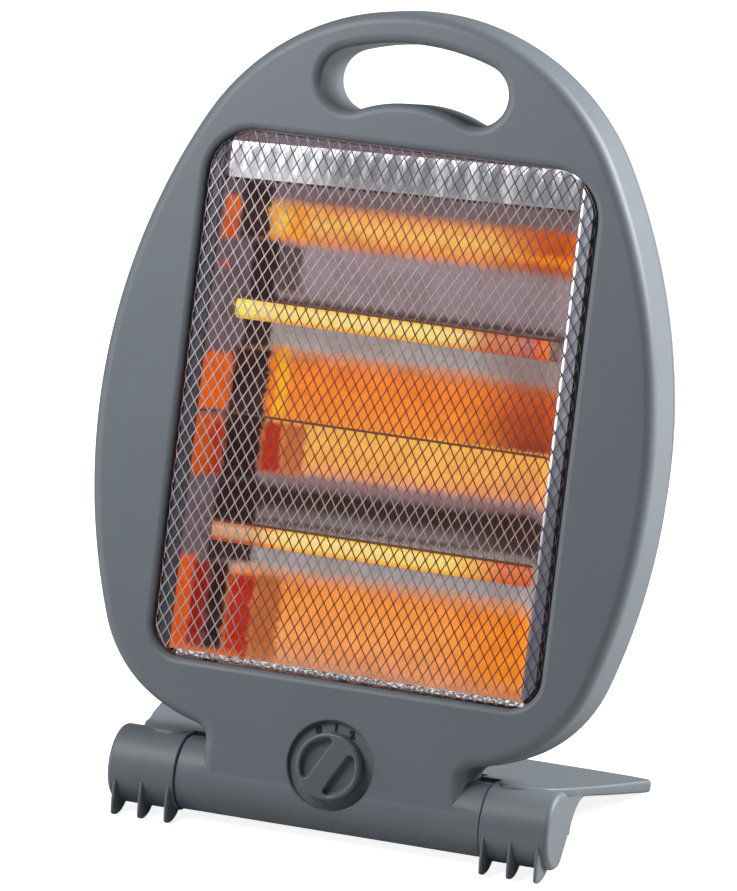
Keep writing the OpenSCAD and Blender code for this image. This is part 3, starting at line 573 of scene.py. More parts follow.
def endFinish():
    end = finishOf("endSheet", Metallic=0.85, Emission_Strength=paintedReflection["strength"])
    picture, scuff = troughPicture(end)
    across, height = end.across(), end.up()
    cloud = end.noise(11.0, 4, 0.6, (1, 1, 3))
    ragged = height + (cloud - 0.5) * endLook["ragged"]
    flange = end.behind().below(endLook["flangeBack"], 0.5)
    rightSide = across.above(0, 10)
    # painted light: the right flange is painted lit and lighter higher up, the left one painted in shade
    right = end.mix(ragged.above(endLook["highAt"], 90), end.between(cloud, endLook["rightLow"]),
                    end.between(cloud, endLook["rightHigh"]))
    edge = end.mix(rightSide, end.between(cloud, endLook["left"]), right)
    # a painted highlight along the right end's fold
    shine = across.band(*endLook["shineBand"], 0.8) * ragged.above(endLook["shineAt"], 120) * rightSide
    # the front flange's emission: its painted tone at 0.35, with the painted highlight
    rim = end.mix(shine, end.mix(0.35, rgb(0, 0, 0), edge), rgb(*endLook["shine"]))
    # painted shade on the flange behind the shell's lip
    recessShade = end.behind().band(*endLook["recessShadeBand"], 0.4) * abs(across).above(endLook["recessShadeFrom"], 0.4)
    glow = end.mix(recessShade, picture, rgb(*endLook["recessShade"]))
    end.feed(end.shader, {
        "Base Color": end.mix(flange, rgb(*endLook["flange"]), edge),
        "Roughness": scuff.around(sheetLook["roughness"], sheetLook["roughSpread"]),
        "Emission Color": end.mix(flange, glow, rim)})


sheetFinish()
endFinish()

# Each tube's colours are stops of (place across, red, green, blue)
tubeLook = {"heights": [227.5, 119], "y": 1, "radius": 5.35, "wall": 1.2, "soft": 0.4, "half": 96,
            "strength": 0.85, "coilStrength": 2.2, "rampHalf": 92, "core": (255, 240, 160),
            "under": (246, 178, 96), "edge": (64, 24, 16), "holeShade": (82, 68, 72), "glass": (90, 66, 44),
            "alpha": 0.93, "coil": (255, 170, 70), "coilGlow": [(255, 160, 50), (255, 215, 120)],
            "colours": [[
    (-80, 255, 222, 40), (-76, 255, 240, 80), (-66, 255, 212, 100), (20, 255, 218, 104),
    (36, 246, 190, 100), (46, 216, 120, 80), (64, 208, 112, 82), (69, 182, 100, 108), (74, 236, 96, 40),
    (79.2, 250, 120, 50), (80.4, 120, 104, 100)], [
    (-78.4, 214, 92, 40), (-74, 186, 90, 66), (-58, 200, 108, 74), (-50, 250, 178, 90),
    (-40, 255, 214, 104), (44, 255, 212, 90), (58, 242, 168, 80), (68, 226, 116, 64), (90, 222, 102, 50)]]}


def quartzFinish(place, level, colours):
    quartz = finishOf("quartz" + place, Roughness=0.34, IOR=1.3, Emission_Strength=tubeLook["strength"])
    shimmer = quartz.noise(2.2, 3, 0.7, (1.5, 1, 1))
    across, height = quartz.across(), quartz.up() - level
    half = tubeLook["rampHalf"]
    heat = quartz.ramp(across + (shimmer - 0.5) * across.band(-78, 72, 6) * 8, -half, half, colours)
    rise = shimmer.around(height, 1.2)
    core = rise.band(-2.6, 3.0, 3) * across.band(-80, 44, 12) * 0.3
    shaded = quartz.mix(core, heat, rgb(*tubeLook["core"]), "SCREEN")
    shaded = quartz.mix(rise.below(-3.4, 2.5) * 0.6, shaded, rgb(*tubeLook["under"]), "MULTIPLY")
    # painted shade: dark lines along the tube's top and bottom edges, standing in for the shade just above
    # and below it
    edges = height.above(4.3, 0.5) + height.below(-5.0, 0.4) * 0.5
    shaded = quartz.patch(shaded, edges, tubeLook["edge"])
    # painted shade on the tube's left end, where it passes into the end plate's hole
    shaded = quartz.patch(shaded, across.below(colours[0][0] - 0.5, 0.8), tubeLook["holeShade"])
    quartz.feed(quartz.shader, {"Base Color": rgb(*tubeLook["glass"]), "Emission Color": shaded,
                                "Alpha": tubeLook["alpha"]})


for place, level, colours in zip(("Upper", "Lower"), tubeLook["heights"], tubeLook["colours"]):
    quartzFinish(place, level, colours)

coilHeat = finishOf("coilHeat", Roughness=0.5, Emission_Strength=tubeLook["coilStrength"])
coilHeat.feed(coilHeat.shader, {"Base Color": rgb(*tubeLook["coil"]), "Emission Color": coilHeat.between(
    coilHeat.noise(3.0), tubeLook["coilGlow"])})
print("finishes made:", len(materials))


# ---- front shell

def gripMouth(depth, way, inner):
    mouth = [(depth - way, grip(body["gripSoft"]))]
    mouth += [(y, grip(inset)) for y, inset in quarter(depth, body["gripSoft"], way, 10)]
    return loft("gripMouth", mouth + [(inner, grip(0))])


# dishEdge holds (depth behind the face, radius beyond dishR), the two lobe edges hold (depth, growth)
knob = {"height": 15.9, "dishR": 21.8, "dishDepth": 3, "dishSoft": 0.4, "dishWall": 2.4,
        "dishEdge": [(-5, 0.7), (0, 0.7), (0.35, 0.15), (0.8, 0)], "r": 16.4, "proud": 4.5, "turn": 30,
        "neckR": 4.5, "ribHalf": 5, "lobeR": 13.9, "lobeRound": 2.0, "lobeDepth": 3.7, "cavity": 2.2,
        "wall": 1.6, "edge": 1.6, "foot": 0.3, "gap": 0.4,
        "lobeMouth": [(-1, 0.9), (0, 0.9), (0.25, 0.35), (0.7, 0.05), (1.2, 0)],
        "lobeFloor": [(-1.0, -0.25), (-0.3, -0.6), (0, -1.4)]}
knobCentre = (0, knob["height"])
dishFloor = body["face"] + knob["dishDepth"]
screw = {"places": [(74, 332), (122, 205), (114, 80)], "frontBossR": 4, "rearBossR": 5, "holeR": 1.7,
         "recessR": 3.7, "mouthR": 4.7, "recess": 4.5, "lowX": 42}
bosses = [(x * side, z) for x, z in screw["places"] for side in (-1, 1)]


def halfBarrel(way, bevel=0.6):
    radius, end = body["barrelR"], body["barrelHalf"]
    barrel = turnedX("barrel", [(-end, radius - bevel), (-end + bevel, radius), (end - bevel, radius),
                                (end, radius - bevel)])
    low, high = (-60, 0) if way < 0 else (0, 60)
    return common(barrel, block("half", (-120, low, -60), (120, high, 60)))


def barrelBore():
    end = body["barrelHalf"] - 3
    return rodX("bore", -end, end, body["barrelR"] - body["wall"])


def cutBushes(shell):
    inner, outer, radius = body["bushHole"]
    for side in (-1, 1):
        cut(shell, rodX("bush", side * inner, side * outer, radius, count=64))


def makeFrontShell():
    wall, part, face, seam = body["wall"], body["part"], body["face"], body["seam"]
    outer = [(y, egg(-body["draft"] - inset)) for y, inset in quarter(face, body["rim"], 1, 12)]
    outer += [(part - seam, egg(-body["seamHair"])), (part, egg(-seam))]
    shell = join(loft("frontShell", outer), halfBarrel(-1))
    drafted = -body["draft"] - wall
    cut(shell, loft("inner", [(face + wall, egg(drafted - 2.2)), (face + wall + 2.4, egg(drafted)),
                              (part + 1, egg(-wall))]), barrelBore())
    dishR = knob["dishR"]
    ring = rodY("dishRing", face + 3, face + 5.4, dishR + knob["dishWall"], knobCentre, 96)
    inBarrel = rodX("inBarrel", -60, 60, body["barrelR"] - 0.5)
    common(ring, join(inBarrel, block("above", (-60, -60, 3), (60, 40, 63))))
    join(shell, deep("gripWall", grip(wall), face + wall - 1, part), ring,
         deep("lip", window(2.2), face + wall - 1, face + body["lip"]))
    join(shell, *[rodY("boss", face + wall - 0.1, part, screw["frontBossR"], place, 32) for place in bosses])
    soft, gap = body["winSoft"], knob["dishSoft"]
    mouth = [(face - 1, window(soft))] + [(y, window(inset)) for y, inset in quarter(face, soft, 1, 8)]
    dish = [(face + depth, dishR + over) for depth, over in knob["dishEdge"]]
    cut(shell, gripMouth(face, 1, part + 1), loft("window", mouth + [(face + body["lip"] + 1, window(0))]),
        turnedY("dish", dish + [(dishFloor - gap, dishR), (dishFloor, dishR - gap)], knobCentre),
        rodY("neck", face, 0, knob["neckR"], knobCentre, 96))
    cutBushes(shell)
    settle(shell, "heater", "shellPlastic", ["front_shell"])


makeFrontShell()
print("front shell made")


# ---- rear shell

rear = {"roll": 8, "hoodHalf": 104, "hoodLow": 46, "hoodHigh": 322, "hoodSlope": 12, "hoodCorner": 42,
        "hoodRoll": 7, "waist": 2.5, "neckGap": 67.2, "inlet": (-52, 34), "inletR": 5,
        "ventRows": [72, 256], "ventCount": 6, "ventPitch": 8, "ventX": [-52, 0, 52], "ventSize": (44, 4)}


def hoodLine(grow):
    corner = rear["hoodCorner"]
    return rounded(rear["hoodHalf"], rear["hoodLow"], rear["hoodHigh"], corner, corner, grow, 16)


def slotLine(x, z, length, width, grow):
    run, radius, line = (length - width) / 2, width / 2 + grow, []
    for side in (1, -1):
        for k in range(9):
            angle = math.radians(22.5 * k - 90 * side)
            line.append((x + side * run + radius * math.cos(angle), z + radius * math.sin(angle)))
    return line


def makeRearShell():
    wall, part, back, hood, seam = [body[key] for key in ("wall", "part", "back", "hood", "seam")]
    barrelR, slope = body["barrelR"], rear["hoodSlope"]
    outer = [(part, egg(-seam)), (part + seam, egg(-body["seamHair"]))]
    outer += [(y, rearEgg(y, -0.4 - inset)) for y, inset in roll(back, rear["roll"], 12)]
    hoodRings = [(back - 1, hoodLine(1))]
    hoodRings += [(y, hoodLine(-slope - inset)) for y, inset in roll(hood, rear["hoodRoll"], 10)]
    shell = join(loft("rearShell", outer), loft("hood", hoodRings))
    cut(shell, block("under", (-150, barrelR, -50), (150, 70, barrelR + rear["waist"])))
    join(shell, halfBarrel(1))
    inner = loft("inner", [(y, rearEgg(y, -wall - inset)) for y, inset in (
        (part - 1, 0), (back - rear["roll"], 0.4), (back - wall - 1.6, 3), (back - wall, 7))])
    join(inner, loft("hoodInner", [(back - wall - 1, hoodLine(1 - wall)),
                                   (hood - wall - 4, hoodLine(-slope - wall)),
                                   (hood - wall, hoodLine(-slope - wall - 4))]))
    cut(inner, block("under", (-150, barrelR - wall, -50), (150, 70, barrelR + rear["waist"] + wall)))
    gap = rear["neckGap"]
    cut(shell, inner, barrelBore(), block("neckGap", (-gap, -1, body["neckFoot"] - 0.2), (gap, part, 62)))
    join(shell, deep("gripWall", grip(wall), part, back - 1))
    join(shell, *[rodY("boss", part, back - 0.5, screw["rearBossR"], place, 32) for place in bosses])
    low = [(side * screw["lowX"], 0) for side in (-1, 1)]
    join(shell, *[rodY("boss", 0, barrelR - 1.5, screw["frontBossR"], place, 32) for place in low])
    recessR = screw["recessR"]
    cuts = [gripMouth(back, -1, part - 1), rodY("inlet", part, back + 1, rear["inletR"], rear["inlet"], 48)]
    for place in bosses:
        cuts.append(rodY("hole", part - 1, back, screw["holeR"], place, 24))
        recess = [(back - screw["recess"], recessR), (back - 0.5, recessR), (back + 1, screw["mouthR"])]
        cuts.append(turnedY("recess", recess, place, 32))
    cuts += [rodY("recess", barrelR - 4, barrelR + 1, recessR, place, 32) for place in low]
    cut(shell, *cuts)
    vents = []
    for lowest in rear["ventRows"]:
        for row in range(rear["ventCount"]):
            for x in rear["ventX"]:
                z = lowest + row * rear["ventPitch"]
                vents.append(loft("vent", [(hood + y, slotLine(x, z, *rear["ventSize"], grow))
                                           for y, grow in ((-6, 0), (-0.6, 0), (0.4, 1.0))]))
    cut(shell, *vents)
    cutBushes(shell)
    settle(shell, "heater", "shellPlastic", ["rear_shell"])


makeRearShell()
print("rear shell made")


# ---- stand

# The wing's outline is a run of points over the hub, along the side and across the back, with a round corner.
# An edge is (height, inset) for the wing and (sideways, inset) for a toe
stand = {"hubR": 19, "hubIn": 79, "hubEnd": 113, "hubRound": 2.6, "hubFace": [(-0.6, 0.5), (-0.1, 0)],
         "flatAt": 13.6, "flatLean": 31.4, "flatTop": 7, "hollowR": 14.2, "hollowEnd": 2.6, "bossR": 8,
         "spokeHalf": 0.8, "washerR": 14, "pinR": 4, "pinEnd": 100,
         "wingCorner": (129.2, 95.6), "wingBack": 98.5, "wingLow": 14.4, "wingTop": 19.4, "cornerR": 5,
         "wingWall": 3, "wingSkin": 2.4, "ribX": (-90, -45, 0, 45, 90), "ribHalf": 0.9, "webR": 20,
         "webIn": 0.8, "rearLift": 1.3, "liftFrom": 40, "liftOver": 45, "barrelGapR": 18.6, "frontGap": 8,
         "neckGap": (68.5, 19.5), "stops": (-42, 42), "stopHalf": 4, "stopY": (22, 31), "stopTop": 20.2,
         "toeX": [80.8, 94.6, 108.4], "toeHalf": 5, "toeFront": ((41.7, -10), 60),
         "toeHeel": ((-11.75, -9.73), 15.1),
         "edge": [(0, 1.5), (0.25, 0.75), (0.7, 0.25), (1.3, 0), (3.7, 0), (4.3, 0.2), (4.75, 0.6), (5, 1.2)],
         "toeEdge": [(-1.35, 3.4), (-1.15, 1.7), (-0.8, 0.6), (-0.4, 0.1), (0, 0), (0.4, 0.1), (0.8, 0.6),
                     (1.15, 1.7), (1.35, 3.4)],
         "hubRun": [(79, 3), (80.5, -2), (83, -5.6), (87, -7.4), (92, -7), (97, -4.5), (101.5, 0), (105, 6),
                    (108, 14), (110.5, 22), (112.2, 30)],
         "sideRun": [(115.6, 42), (120.5, 58), (125.2, 76), (128.7, 89)],
         "backRun": [(118, 97), (109, 97.9), (98, 98.4)], "backIn": 84}


def curveThrough(points, steps):  # a smooth run through points
    run = []
    for a, b, c, d in zip(points[:1] + points, points, points[1:], points[2:] + points[-1:]):
        a, b, c, d = Vector(a), Vector(b), Vector(c), Vector(d)
        for k in range(steps):
            t = k / steps
            bend = 2 * b + (c - a) * t + (2 * a - 5 * b + 4 * c - d) * t * t
            run.append(0.5 * (bend + (3 * b - a - 3 * c + d) * t ** 3))
    return run + [Vector(points[-1])]


def wingLine():
    radius = stand["cornerR"]
    side, behind = [reach - radius for reach in stand["wingCorner"]]
    right = curveThrough(stand["hubRun"], 4) + curveThrough(stand["sideRun"], 4)
    for turn in range(0, 80, 10):
        angle = math.radians(turn)
        right.append(Vector((side + radius * math.cos(angle), behind + radius * math.sin(angle))))
    right += curveThrough(stand["backRun"] + [(stand["backIn"], stand["wingBack"])], 3)
    return [Vector((-p.x, p.y)) for p in right] + right[::-1]


def toeLine(inset):  # a toe from the side: two arcs that meet in a point at its foot and at its top
    (a, radiusA), (b, radiusB) = stand["toeFront"], stand["toeHeel"]
    first, second, radiusA, radiusB = Vector(a), Vector(b), radiusA - inset, radiusB - inset
    apart = (second - first).length
    along = (radiusA ** 2 - radiusB ** 2 + apart ** 2) / (2 * apart)
    way = (second - first) / apart
    middle, off = first + way * along, math.sqrt(max(0.01, radiusA ** 2 - along ** 2))
    meets = [middle + off * Vector((way.y, -way.x)), middle - off * Vector((way.y, -way.x))]
    low, high = sorted(meets, key=lambda p: p.y)
    line = []
    for centre, radius, start, end in ((second, radiusB, high, low), (first, radiusA, low, high)):
        a0 = math.atan2(start.y - centre.y, start.x - centre.x)
        a1 = math.atan2(end.y - centre.y, end.x - centre.x)
        if centre is second:
            a1 -= math.tau if a1 > a0 else 0
        else:
            a0, a1 = a0 % math.tau, a1 % math.tau
        steps = 48 if centre is second else 16
        for k in range(steps):
            angle = a0 + (a1 - a0) * k / steps
            line.append(centre + radius * Vector((math.cos(angle), math.sin(angle))))
    return line


def wingPoint(p, up):  # the wing's surface climbs a little towards the back
    thick = stand["edge"][-1][0]
    climb = min(1, max(0, (p.y - stand["liftFrom"]) / stand["liftOver"]))
    return p.x, p.y, stand["wingLow"] + up + stand["rearLift"] * up / thick * climb


def makeWing():
    hubIn, low, high = stand["hubIn"], stand["wingLow"], stand["wingTop"]
    line = wingLine()
    wing = ringed("stand", [[wingPoint(p, up) for p in shrunk(line, inset)] for up, inset in stand["edge"]])
    hollow = ringed("hollow", [[(p.x, p.y, z) for p in shrunk(line, stand["wingWall"])]
                               for z in (low - 1, high - stand["wingSkin"])])
    half = stand["ribHalf"]
    ribs = [block("rib", (x - half, 0, 0), (x + half, 120, 40)) for x in stand["ribX"]]
    cut(hollow, *ribs, block("front", (-140, -20, 0), (140, 38, 40)))
    neckHalf, neckBack = stand["neckGap"]
    cut(wing, hollow, rodX("barrelGap", -hubIn, hubIn, stand["barrelGapR"]),
        block("frontGap", (-hubIn, -20, 0), (hubIn, stand["frontGap"], 40)),
        block("neckGap", (-neckHalf, -20, 0), (neckHalf, neckBack, 40)))
    half, (near, far) = stand["stopHalf"], stand["stopY"]
    return join(wing, *[block("stop", (x - half, near, high - 0.1), (x + half, far, stand["stopTop"]))
                        for x in stand["stops"]])


def webLine():  # the fillet from a hub up to the wing, in y and z
    web, low = stand["webR"], stand["wingLow"]
    centre = (math.sqrt((stand["hubR"] + web) ** 2 - (low - web) ** 2), low - web)
    angles = [math.radians(turn) for turn in range(90, 185, 5)]
    fillet = [(centre[0] + web * math.cos(angle), centre[1] + web * math.sin(angle)) for angle in angles]
    return fillet + [(5, -1), (5, low + 1), (centre[0], low + 1)]


def makeHub(side):
    hubIn, hubEnd, hubR = stand["hubIn"], stand["hubEnd"], stand["hubR"]
    profile = [(hubIn + x, hubR - inset) for x, inset in stand["hubFace"]]
    profile += [(x, hubR - inset) for x, inset in roll(hubEnd, stand["hubRound"], 12)]
    hub = turnedX("hub", [(side * x, radius) for x, radius in profile], count=144)
    join(hub, prism("web", webLine(), side * hubIn, side * (hubEnd - stand["webIn"])))
    lean, off, top = math.radians(stand["flatLean"]), stand["flatAt"], stand["flatTop"]
    flat = [(y * math.cos(lean) + z * math.sin(lean), z * math.cos(lean) - y * math.sin(lean))
            for y, z in ((off, -60), (off + 40, -60), (off + 40, top), (off, top))]
    cut(hub, prism("flat", flat, side * (hubIn - 1), side * (hubEnd + 2)))
    for x in stand["toeX"]:
        toe = ringed("toe", [[(side * x + off, p.x, p.y) for p in toeLine(inset)]
                             for off, inset in stand["toeEdge"]])
        half = stand["toeHalf"]
        cut(toe, rodX("room", side * (x - half), side * (x + half), hubR - 1.5),
            block("above", (-140, -40, -1), (140, 40, 20)), block("behind", (-140, 1, -40), (140, 40, 20)))
        join(hub, toe)
    core = rodX("core", side * (hubIn - 1), side * (hubEnd - stand["hollowEnd"]), stand["hollowR"])
    spokes = [rodX("boss", side * (hubIn - 2), side * hubEnd, stand["bossR"], count=64)]
    half, reach = stand["spokeHalf"], hubEnd * 1.1
    for turn in range(0, 180, 45):
        spoke = block("spoke", (-reach, -half, -30), (reach, half, 30))
        spoke.data.transform(Matrix.Rotation(math.radians(turn), 4, "X"))
        spokes.append(spoke)
    cut(core, *spokes)
    return cut(hub, core, rodX("washerRoom", side * (hubIn - 2), side * hubIn, stand["washerR"], count=64))


def makeStand():
    moulding = makeWing()
    for side in (-1, 1):
        join(moulding, makeHub(side))
        cut(moulding, rodX("pinRoom", side * (stand["hubIn"] - 1), side * stand["pinEnd"], stand["pinR"]))
    ground = block("ground", (-300, -300, -60), (300, 300, 0))
    ground.data.transform(toRow.inverted() @ Matrix.Scale(mm, 4))
    cut(moulding, ground)
    settle(moulding, "stand", "shellPlastic", ["stand"], sharp=38)


makeStand()
print("stand made")


# ---- knob

def lobeLine(grow):  # a finger hollow's outline: a flat side towards the rib and a round side towards the rim
    inner, shift = knob["lobeR"] - knob["lobeRound"], knob["ribHalf"] + knob["lobeRound"]
    half = math.acos(shift / inner)
    reach = knob["lobeRound"] + grow
    tip = inner * math.sin(half)
    angles = [half - 2 * half * k / 24 for k in range(25)]
    line = [((inner + reach) * math.cos(angle), (inner + reach) * math.sin(angle)) for angle in angles]
    for side in (-1, 1):
        first, last = (-half, -math.pi) if side < 0 else (math.pi, half)
        for k in range(11):
            angle = first + (last - first) * k / 10
            line.append((shift + reach * math.cos(angle), side * tip + reach * math.sin(angle)))
    return line


def makeKnob():
    front, back, radius = body["face"] - knob["proud"], dishFloor - knob["gap"], knob["r"]
    profile = [(y, radius - inset) for y, inset in quarter(front, knob["edge"], 1, 8)]
    foot = knob["foot"]
    cap = turnedY("knobCap", profile + [(back - foot, radius), (back, radius - foot)], (0, 0), 128)
    floor = front + knob["lobeDepth"]
    rings = [(front + y, grow) for y, grow in knob["lobeMouth"]]
    rings += [(floor + y, grow) for y, grow in knob["lobeFloor"]]
    for side in (-1, 1):
        cut(cap, loft("lobe", [(y, [(side * x, side * z) for x, z in lobeLine(grow)]) for y, grow in rings]))
    cut(cap, rodY("cavity", back - knob["cavity"], back + 1, radius - knob["wall"], (0, 0), 96))
    turn = Matrix.Rotation(math.radians(knob["turn"]), 4, "Y")
    matrix = toRow @ Matrix.Translation((0, 0, knob["height"])) @ turn
    settle(cap, "knob", "knobPlastic", ["knob"], sharp=40, matrix=matrix)


makeKnob()

digits = {"size": 5.0, "radius": 18.0, "turns": [-29, 0, 28], "thick": 0.05, "bold": 0.5}
for text, turn in zip("012", digits["turns"]):
    curve = bpy.data.curves.new("digit" + text, "FONT")
    curve.body, curve.size = text, digits["size"]
    curve.extrude, curve.offset = digits["thick"], digits["bold"]
    curve.align_x, curve.align_y = "CENTER", "CENTER"
    letter = bpy.data.objects.new("digit" + text, curve)
    mesh = bpy.data.meshes.new_from_object(letter)
    bpy.data.objects.remove(letter)
    digit = bpy.data.objects.new("digit" + text, mesh)
    scene.collection.objects.link(digit)
    x = digits["radius"] * math.sin(math.radians(turn))
    z = knob["height"] + digits["radius"] * math.cos(math.radians(turn))
    upright = Matrix.Translation((x, dishFloor, z)) @ Matrix.Rotation(math.pi / 2, 4, "X")
    settle(digit, "heater", "digitInk", matrix=toRow @ upright)
print("knob and scale made")


# ---- guard

guard = {"columns": 37, "rows": 28, "front": -16.6, "strand": 0.6, "thick": 0.4, "rollBack": 5.6,
         "foldR": 1.8, "gap": 1.2, "wave": 0.12, "lap": 0.92, "knuckle": 0.04, "spare": 2}


def pastEdge(x, z):  # how far a point lies outside the window less the net's gap, and the way outwards
    gap = guard["gap"]
    half, low, high = body["winHalf"] - gap, body["winLow"] + gap, body["winHigh"] - gap
    middle = (low + high) / 2
    radius = (body["winTopR"] if z > middle else body["winLowR"]) - gap
    a, b = abs(x) - half + radius, abs(z - middle) - (high - low) / 2 + radius
    outside = math.hypot(max(a, 0), max(b, 0)) + min(max(a, b), 0) - radius
    toward = Vector((math.copysign(max(a, 0), x), math.copysign(max(b, 0), z - middle)))
    if toward.length < 1e-9:
        toward = Vector((math.copysign(1, x), 0)) if a > b else Vector((0, math.copysign(1, z - middle)))
    return outside, toward.normalized()


def guardPoint(x, z, lift):  # a point of the flat net, carried round the fold and back behind the lip
    fold = guard["foldR"]
    far, way = pastEdge(x, z)
    run = far + fold
    if run <= 0:
        return Vector((x, guard["front"] + lift, z))
    border = Vector((x, z)) - way * run
    angle = min(run / fold, math.pi / 2)
    rest = max(run - fold * math.pi / 2, 0)
    out = fold * math.sin(angle) - lift * math.sin(angle)
    depth = fold * (1 - math.cos(angle)) + lift * math.cos(angle) + rest
    return Vector((border.x + way.x * out, guard["front"] + depth, border.y + way.y * out))


def strandRun(column, wide, tall):  # the corners of one strand's zigzag, as (x, z, lift)
    middle = -body["winHalf"] + wide / 2 * (column + 0.5)
    run = []
    for row in range(-2 * guard["spare"], 2 * guard["rows"] + 2 * guard["spare"] + 1):
        side = 1 if (row + column) % 2 else -1
        z = body["winLow"] + row * tall / 2
        x = middle + side * (wide / 4 - guard["strand"] / 2 * guard["lap"])
        for step in (-guard["knuckle"] * tall, guard["knuckle"] * tall):
            run.append((x, z + step, side * guard["wave"]))
    return run


def makeGuard():
    wide = 2 * body["winHalf"] / guard["columns"]
    tall = (body["winHigh"] - body["winLow"]) / guard["rows"]
    half, thick, spare = guard["strand"] / 2, guard["thick"] / 2, guard["spare"]
    points, faces = [], []
    for column in range(-spare, 2 * guard["columns"] + spare):
        run = strandRun(column, wide, tall)
        held = [pastEdge(x, z)[0] <= guard["rollBack"] for x, z, lift in run] + [False]
        for k, (x, z, lift) in enumerate(run):
            if not held[k]:
                continue
            first = len(points)
            points += [guardPoint(x + across, z, lift + up) for across, up in
                       ((-half, -thick), (half, -thick), (half, thick), (-half, thick))]
            if k > 0 and held[k - 1]:
                last = first - 4
                faces += [[last + b, last + (b + 1) % 4, first + (b + 1) % 4, first + b] for b in range(4)]
            else:
                faces.append([first, first + 1, first + 2, first + 3])
            if not held[k + 1]:
                faces.append([first + 3, first + 2, first + 1, first])
    settle(solid("guardNet", points, faces), "heater", "guardWire", ["guard_mesh"], sharp=50)


makeGuard()
print("guard made")


# ---- reflector's fluted strip, tubes and coils

def makeStrip():
    columns, rows, wide = strip["columns"], strip["rows"], strip["columns"] + 1
    points, faces = [], []
    for layer in (0, strip["sheet"]):
        for j in range(rows + 1):
            up = j / rows
            fade = math.sin(math.pi * min(max(up * 1.1 - 0.05, 0), 1)) ** 0.45
            for i in range(wide):
                x = -strip["half"] + 2 * strip["half"] * i / columns
                crest = (0.5 + 0.5 * math.cos(math.tau * x / strip["pitch"])) ** 0.8
                low = strip["low"] + strip["rise"] * x
                high = strip["high"] + strip["rise"] * strip["fan"] * x
                y = strip["y"] + layer - strip["depth"] * crest * fade
                points.append((x, y, low + (high - low) * up))
    total = wide * (rows + 1)
    for j in range(rows):
        for i in range(columns):
            a = j * wide + i
            faces.append([a, a + 1, a + wide + 1, a + wide])
            faces.append([total + a, total + a + wide, total + a + wide + 1, total + a + 1])
    rim = list(range(wide)) + [wide * (j + 1) - 1 for j in range(1, rows + 1)]
    rim += [wide * rows + i for i in range(wide - 2, -1, -1)] + [wide * j for j in range(rows - 1, 0, -1)]
    for a, b in zip(rim, rim[1:] + rim[:1]):
        faces.append([a, b, total + b, total + a])
    sheet = solid("flutedStrip", points, faces)
    settle(sheet, "heater", "stripSheet", ["fluted_strip"], sharp=50)


# The strip carries painted light: a painted sheen all over, and painted highlights on its left end and three
# of its flutes, over a darker base at the left end; places are as seen, to the right of the middle
stripLook = {"strength": 0.62, "roughness": 0.3, "left": [(96, 94, 100), (150, 148, 154)],
             "rest": [(150, 148, 154), (226, 226, 232)], "leftEnd": -46, "leftFade": 24, "leftGlow": 0.45,
             "glow": 0.4, "flutes": (14, 30.7, 48.6), "fluteHalf": 2.2, "fluteGlow": 0.55,
             "shine": (250, 250, 255)}


def stripFinish():
    metal = finishOf("stripSheet", Metallic=0.8, Emission_Strength=stripLook["strength"])
    sight = metal.noise(8.0).around(metal.sight(), 6)
    crumple = metal.noise(2.2, 4, 0.7, (1, 1, 3))
    left = sight.below(stripLook["leftEnd"], stripLook["leftFade"])
    # painted highlights: the sheen everywhere, brighter at the left end and on three flutes
    bright, half = left * stripLook["leftGlow"] + stripLook["glow"], stripLook["fluteHalf"]
    for place in stripLook["flutes"]:
        bright = bright + sight.band(place - half, place + half, 2.5) * stripLook["fluteGlow"]
    metal.feed(metal.shader, {
        "Base Color": metal.mix(left, metal.between(crumple, stripLook["left"]),
                                metal.between(crumple, stripLook["rest"])),
        "Roughness": crumple.around(stripLook["roughness"], 0.2),
        "Emission Color": metal.mix(bright * (crumple + 0.35), rgb(0, 0, 0), rgb(*stripLook["shine"]))})
    metal.bump(crumple, 0.4, 0.3)


stripFinish()
makeStrip()

ends = {"path": [(96.6, -15.3), (90.5, -15.3), (70, 28.5), (62, 28.5)], "bend": [1.4, 1.0], "sheet": 0.5,
        "low": 60, "high": 310, "flangeX": (88.3, 110), "flangeY": -9.85, "front": -17, "frontGap": 0.21,
        "windowIn": 2.25, "shellIn": 5.6, "hole": 5.5, "holeX": (60, 99), "screwX": 107, "screwR": 1.4,
        "screws": [90, 175, 270]}


def bentLine(points, bends, thick):  # both sides of a sheet bent along points, its inner corners rounded
    path = [Vector(points[0])]
    for before, point, after, radius in zip(points, points[1:], points[2:], bends):
        before, point, after = Vector(before), Vector(point), Vector(after)
        u, v = (before - point).normalized(), (after - point).normalized()
        half = u.angle(v) / 2
        reach = radius / math.tan(half)
        centre = point + (u + v).normalized() * radius / math.sin(half)
        first, last = point + u * reach - centre, point + v * reach - centre
        turn = first.angle_signed(last)
        for k in range(9):
            path.append(centre + Matrix.Rotation(-turn * k / 8, 2) @ first)
    path.append(Vector(points[-1]))
    sides = [[], []]
    for k, point in enumerate(path):
        way = (path[min(k + 1, len(path) - 1)] - path[max(k - 1, 0)]).normalized()
        for side, line in zip((1, -1), sides):
            line.append(point + side * thick / 2 * Vector((way.y, -way.x)))
    return sides[0] + sides[1][::-1]


